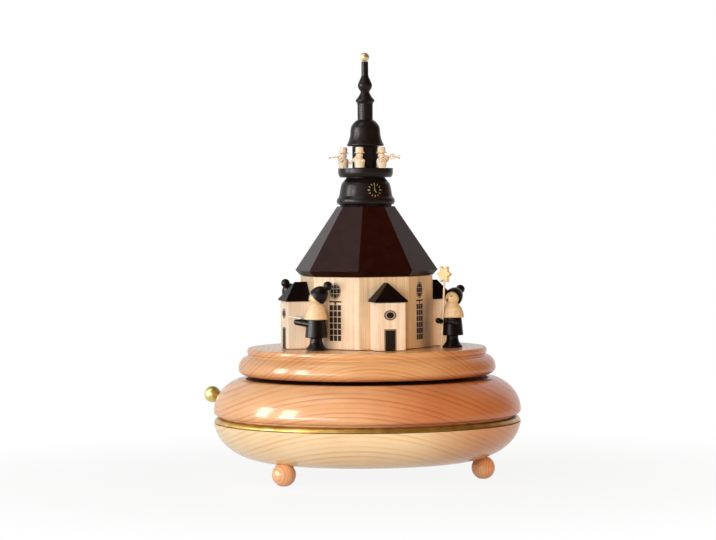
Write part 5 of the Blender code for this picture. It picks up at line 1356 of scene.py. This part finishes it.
mirrored = add_node(
    tree, "MapRange", {"Value": rays["Is Glossy Ray"], "To Min": WORLD_FILL, "To Max": 1.0}, "Result"
)
unseen = add_node(tree, "Math", {0: level, 1: mirrored}, "Value", operation="MULTIPLY")
strength = add_node(tree, "MapRange", {"Value": seen, "To Min": unseen, "To Max": 1.0}, "Result")
warmth = add_node(tree, "MapRange", {"Value": seen, "To Min": beside, "To Max": 0.0}, "Result")
tint = add_node(
    tree, "Mix", {0: warmth, 6: linear("#FFFFFF"), 7: linear(WARM_WALL)}, 2, data_type="RGBA"
)
sky = add_node(tree, "Background", {"Color": tint, "Strength": strength}, "Background")
add_node(tree, "OutputWorld", {"Surface": sky})
for name, (heading, distance, height, wide, tall, power, colour) in LAMPS.items():
    lamp = bpy.data.lights.new(name, "AREA")
    lamp.shape = "RECTANGLE"
    lamp.size = wide
    lamp.size_y = tall
    lamp.energy = power
    lamp.color = linear(colour)[:3]
    holder = bpy.data.objects.new(name, lamp)
    bpy.context.scene.collection.objects.link(holder)
    holder.visible_glossy = name not in MATT_LAMPS
    holder.visible_diffuse = name not in HIGHLIGHT_LAMPS
    holder.location = along(heading, distance, height)
    holder.rotation_euler = (TARGET - holder.location).to_track_quat("-Z", "Y").to_euler()

# Camera
# A long lens a little above the turntable, turned to the left front of the object.

CAMERA_HEADING = -16.341
CAMERA_DISTANCE = 1.8
CAMERA_HEIGHT = 0.1844
CAMERA_PITCH = 1.586
CAMERA_ROLL = -0.425
FOCAL_PIXELS = 2771.1
CENTRE_SHIFT_PIXELS = 8.3
IMAGE_WIDTH = 716
SENSOR_WIDTH = 36.0

camera_data = bpy.data.cameras.new("camera")
camera_data.sensor_width = SENSOR_WIDTH
camera_data.lens = FOCAL_PIXELS / IMAGE_WIDTH * SENSOR_WIDTH
camera_data.shift_x = -CENTRE_SHIFT_PIXELS / IMAGE_WIDTH
camera_data.clip_start = 0.05
camera_data.clip_end = 50.0
camera = bpy.data.objects.new("camera", camera_data)
bpy.context.scene.collection.objects.link(camera)
camera.matrix_world = (
    shift(*along(CAMERA_HEADING, CAMERA_DISTANCE, CAMERA_HEIGHT)) @ rotate(CAMERA_HEADING)
    @ rotate(90 - CAMERA_PITCH, "X") @ rotate(CAMERA_ROLL)
)
bpy.context.scene.camera = camera
bpy.context.scene.view_settings.view_transform = "Standard"
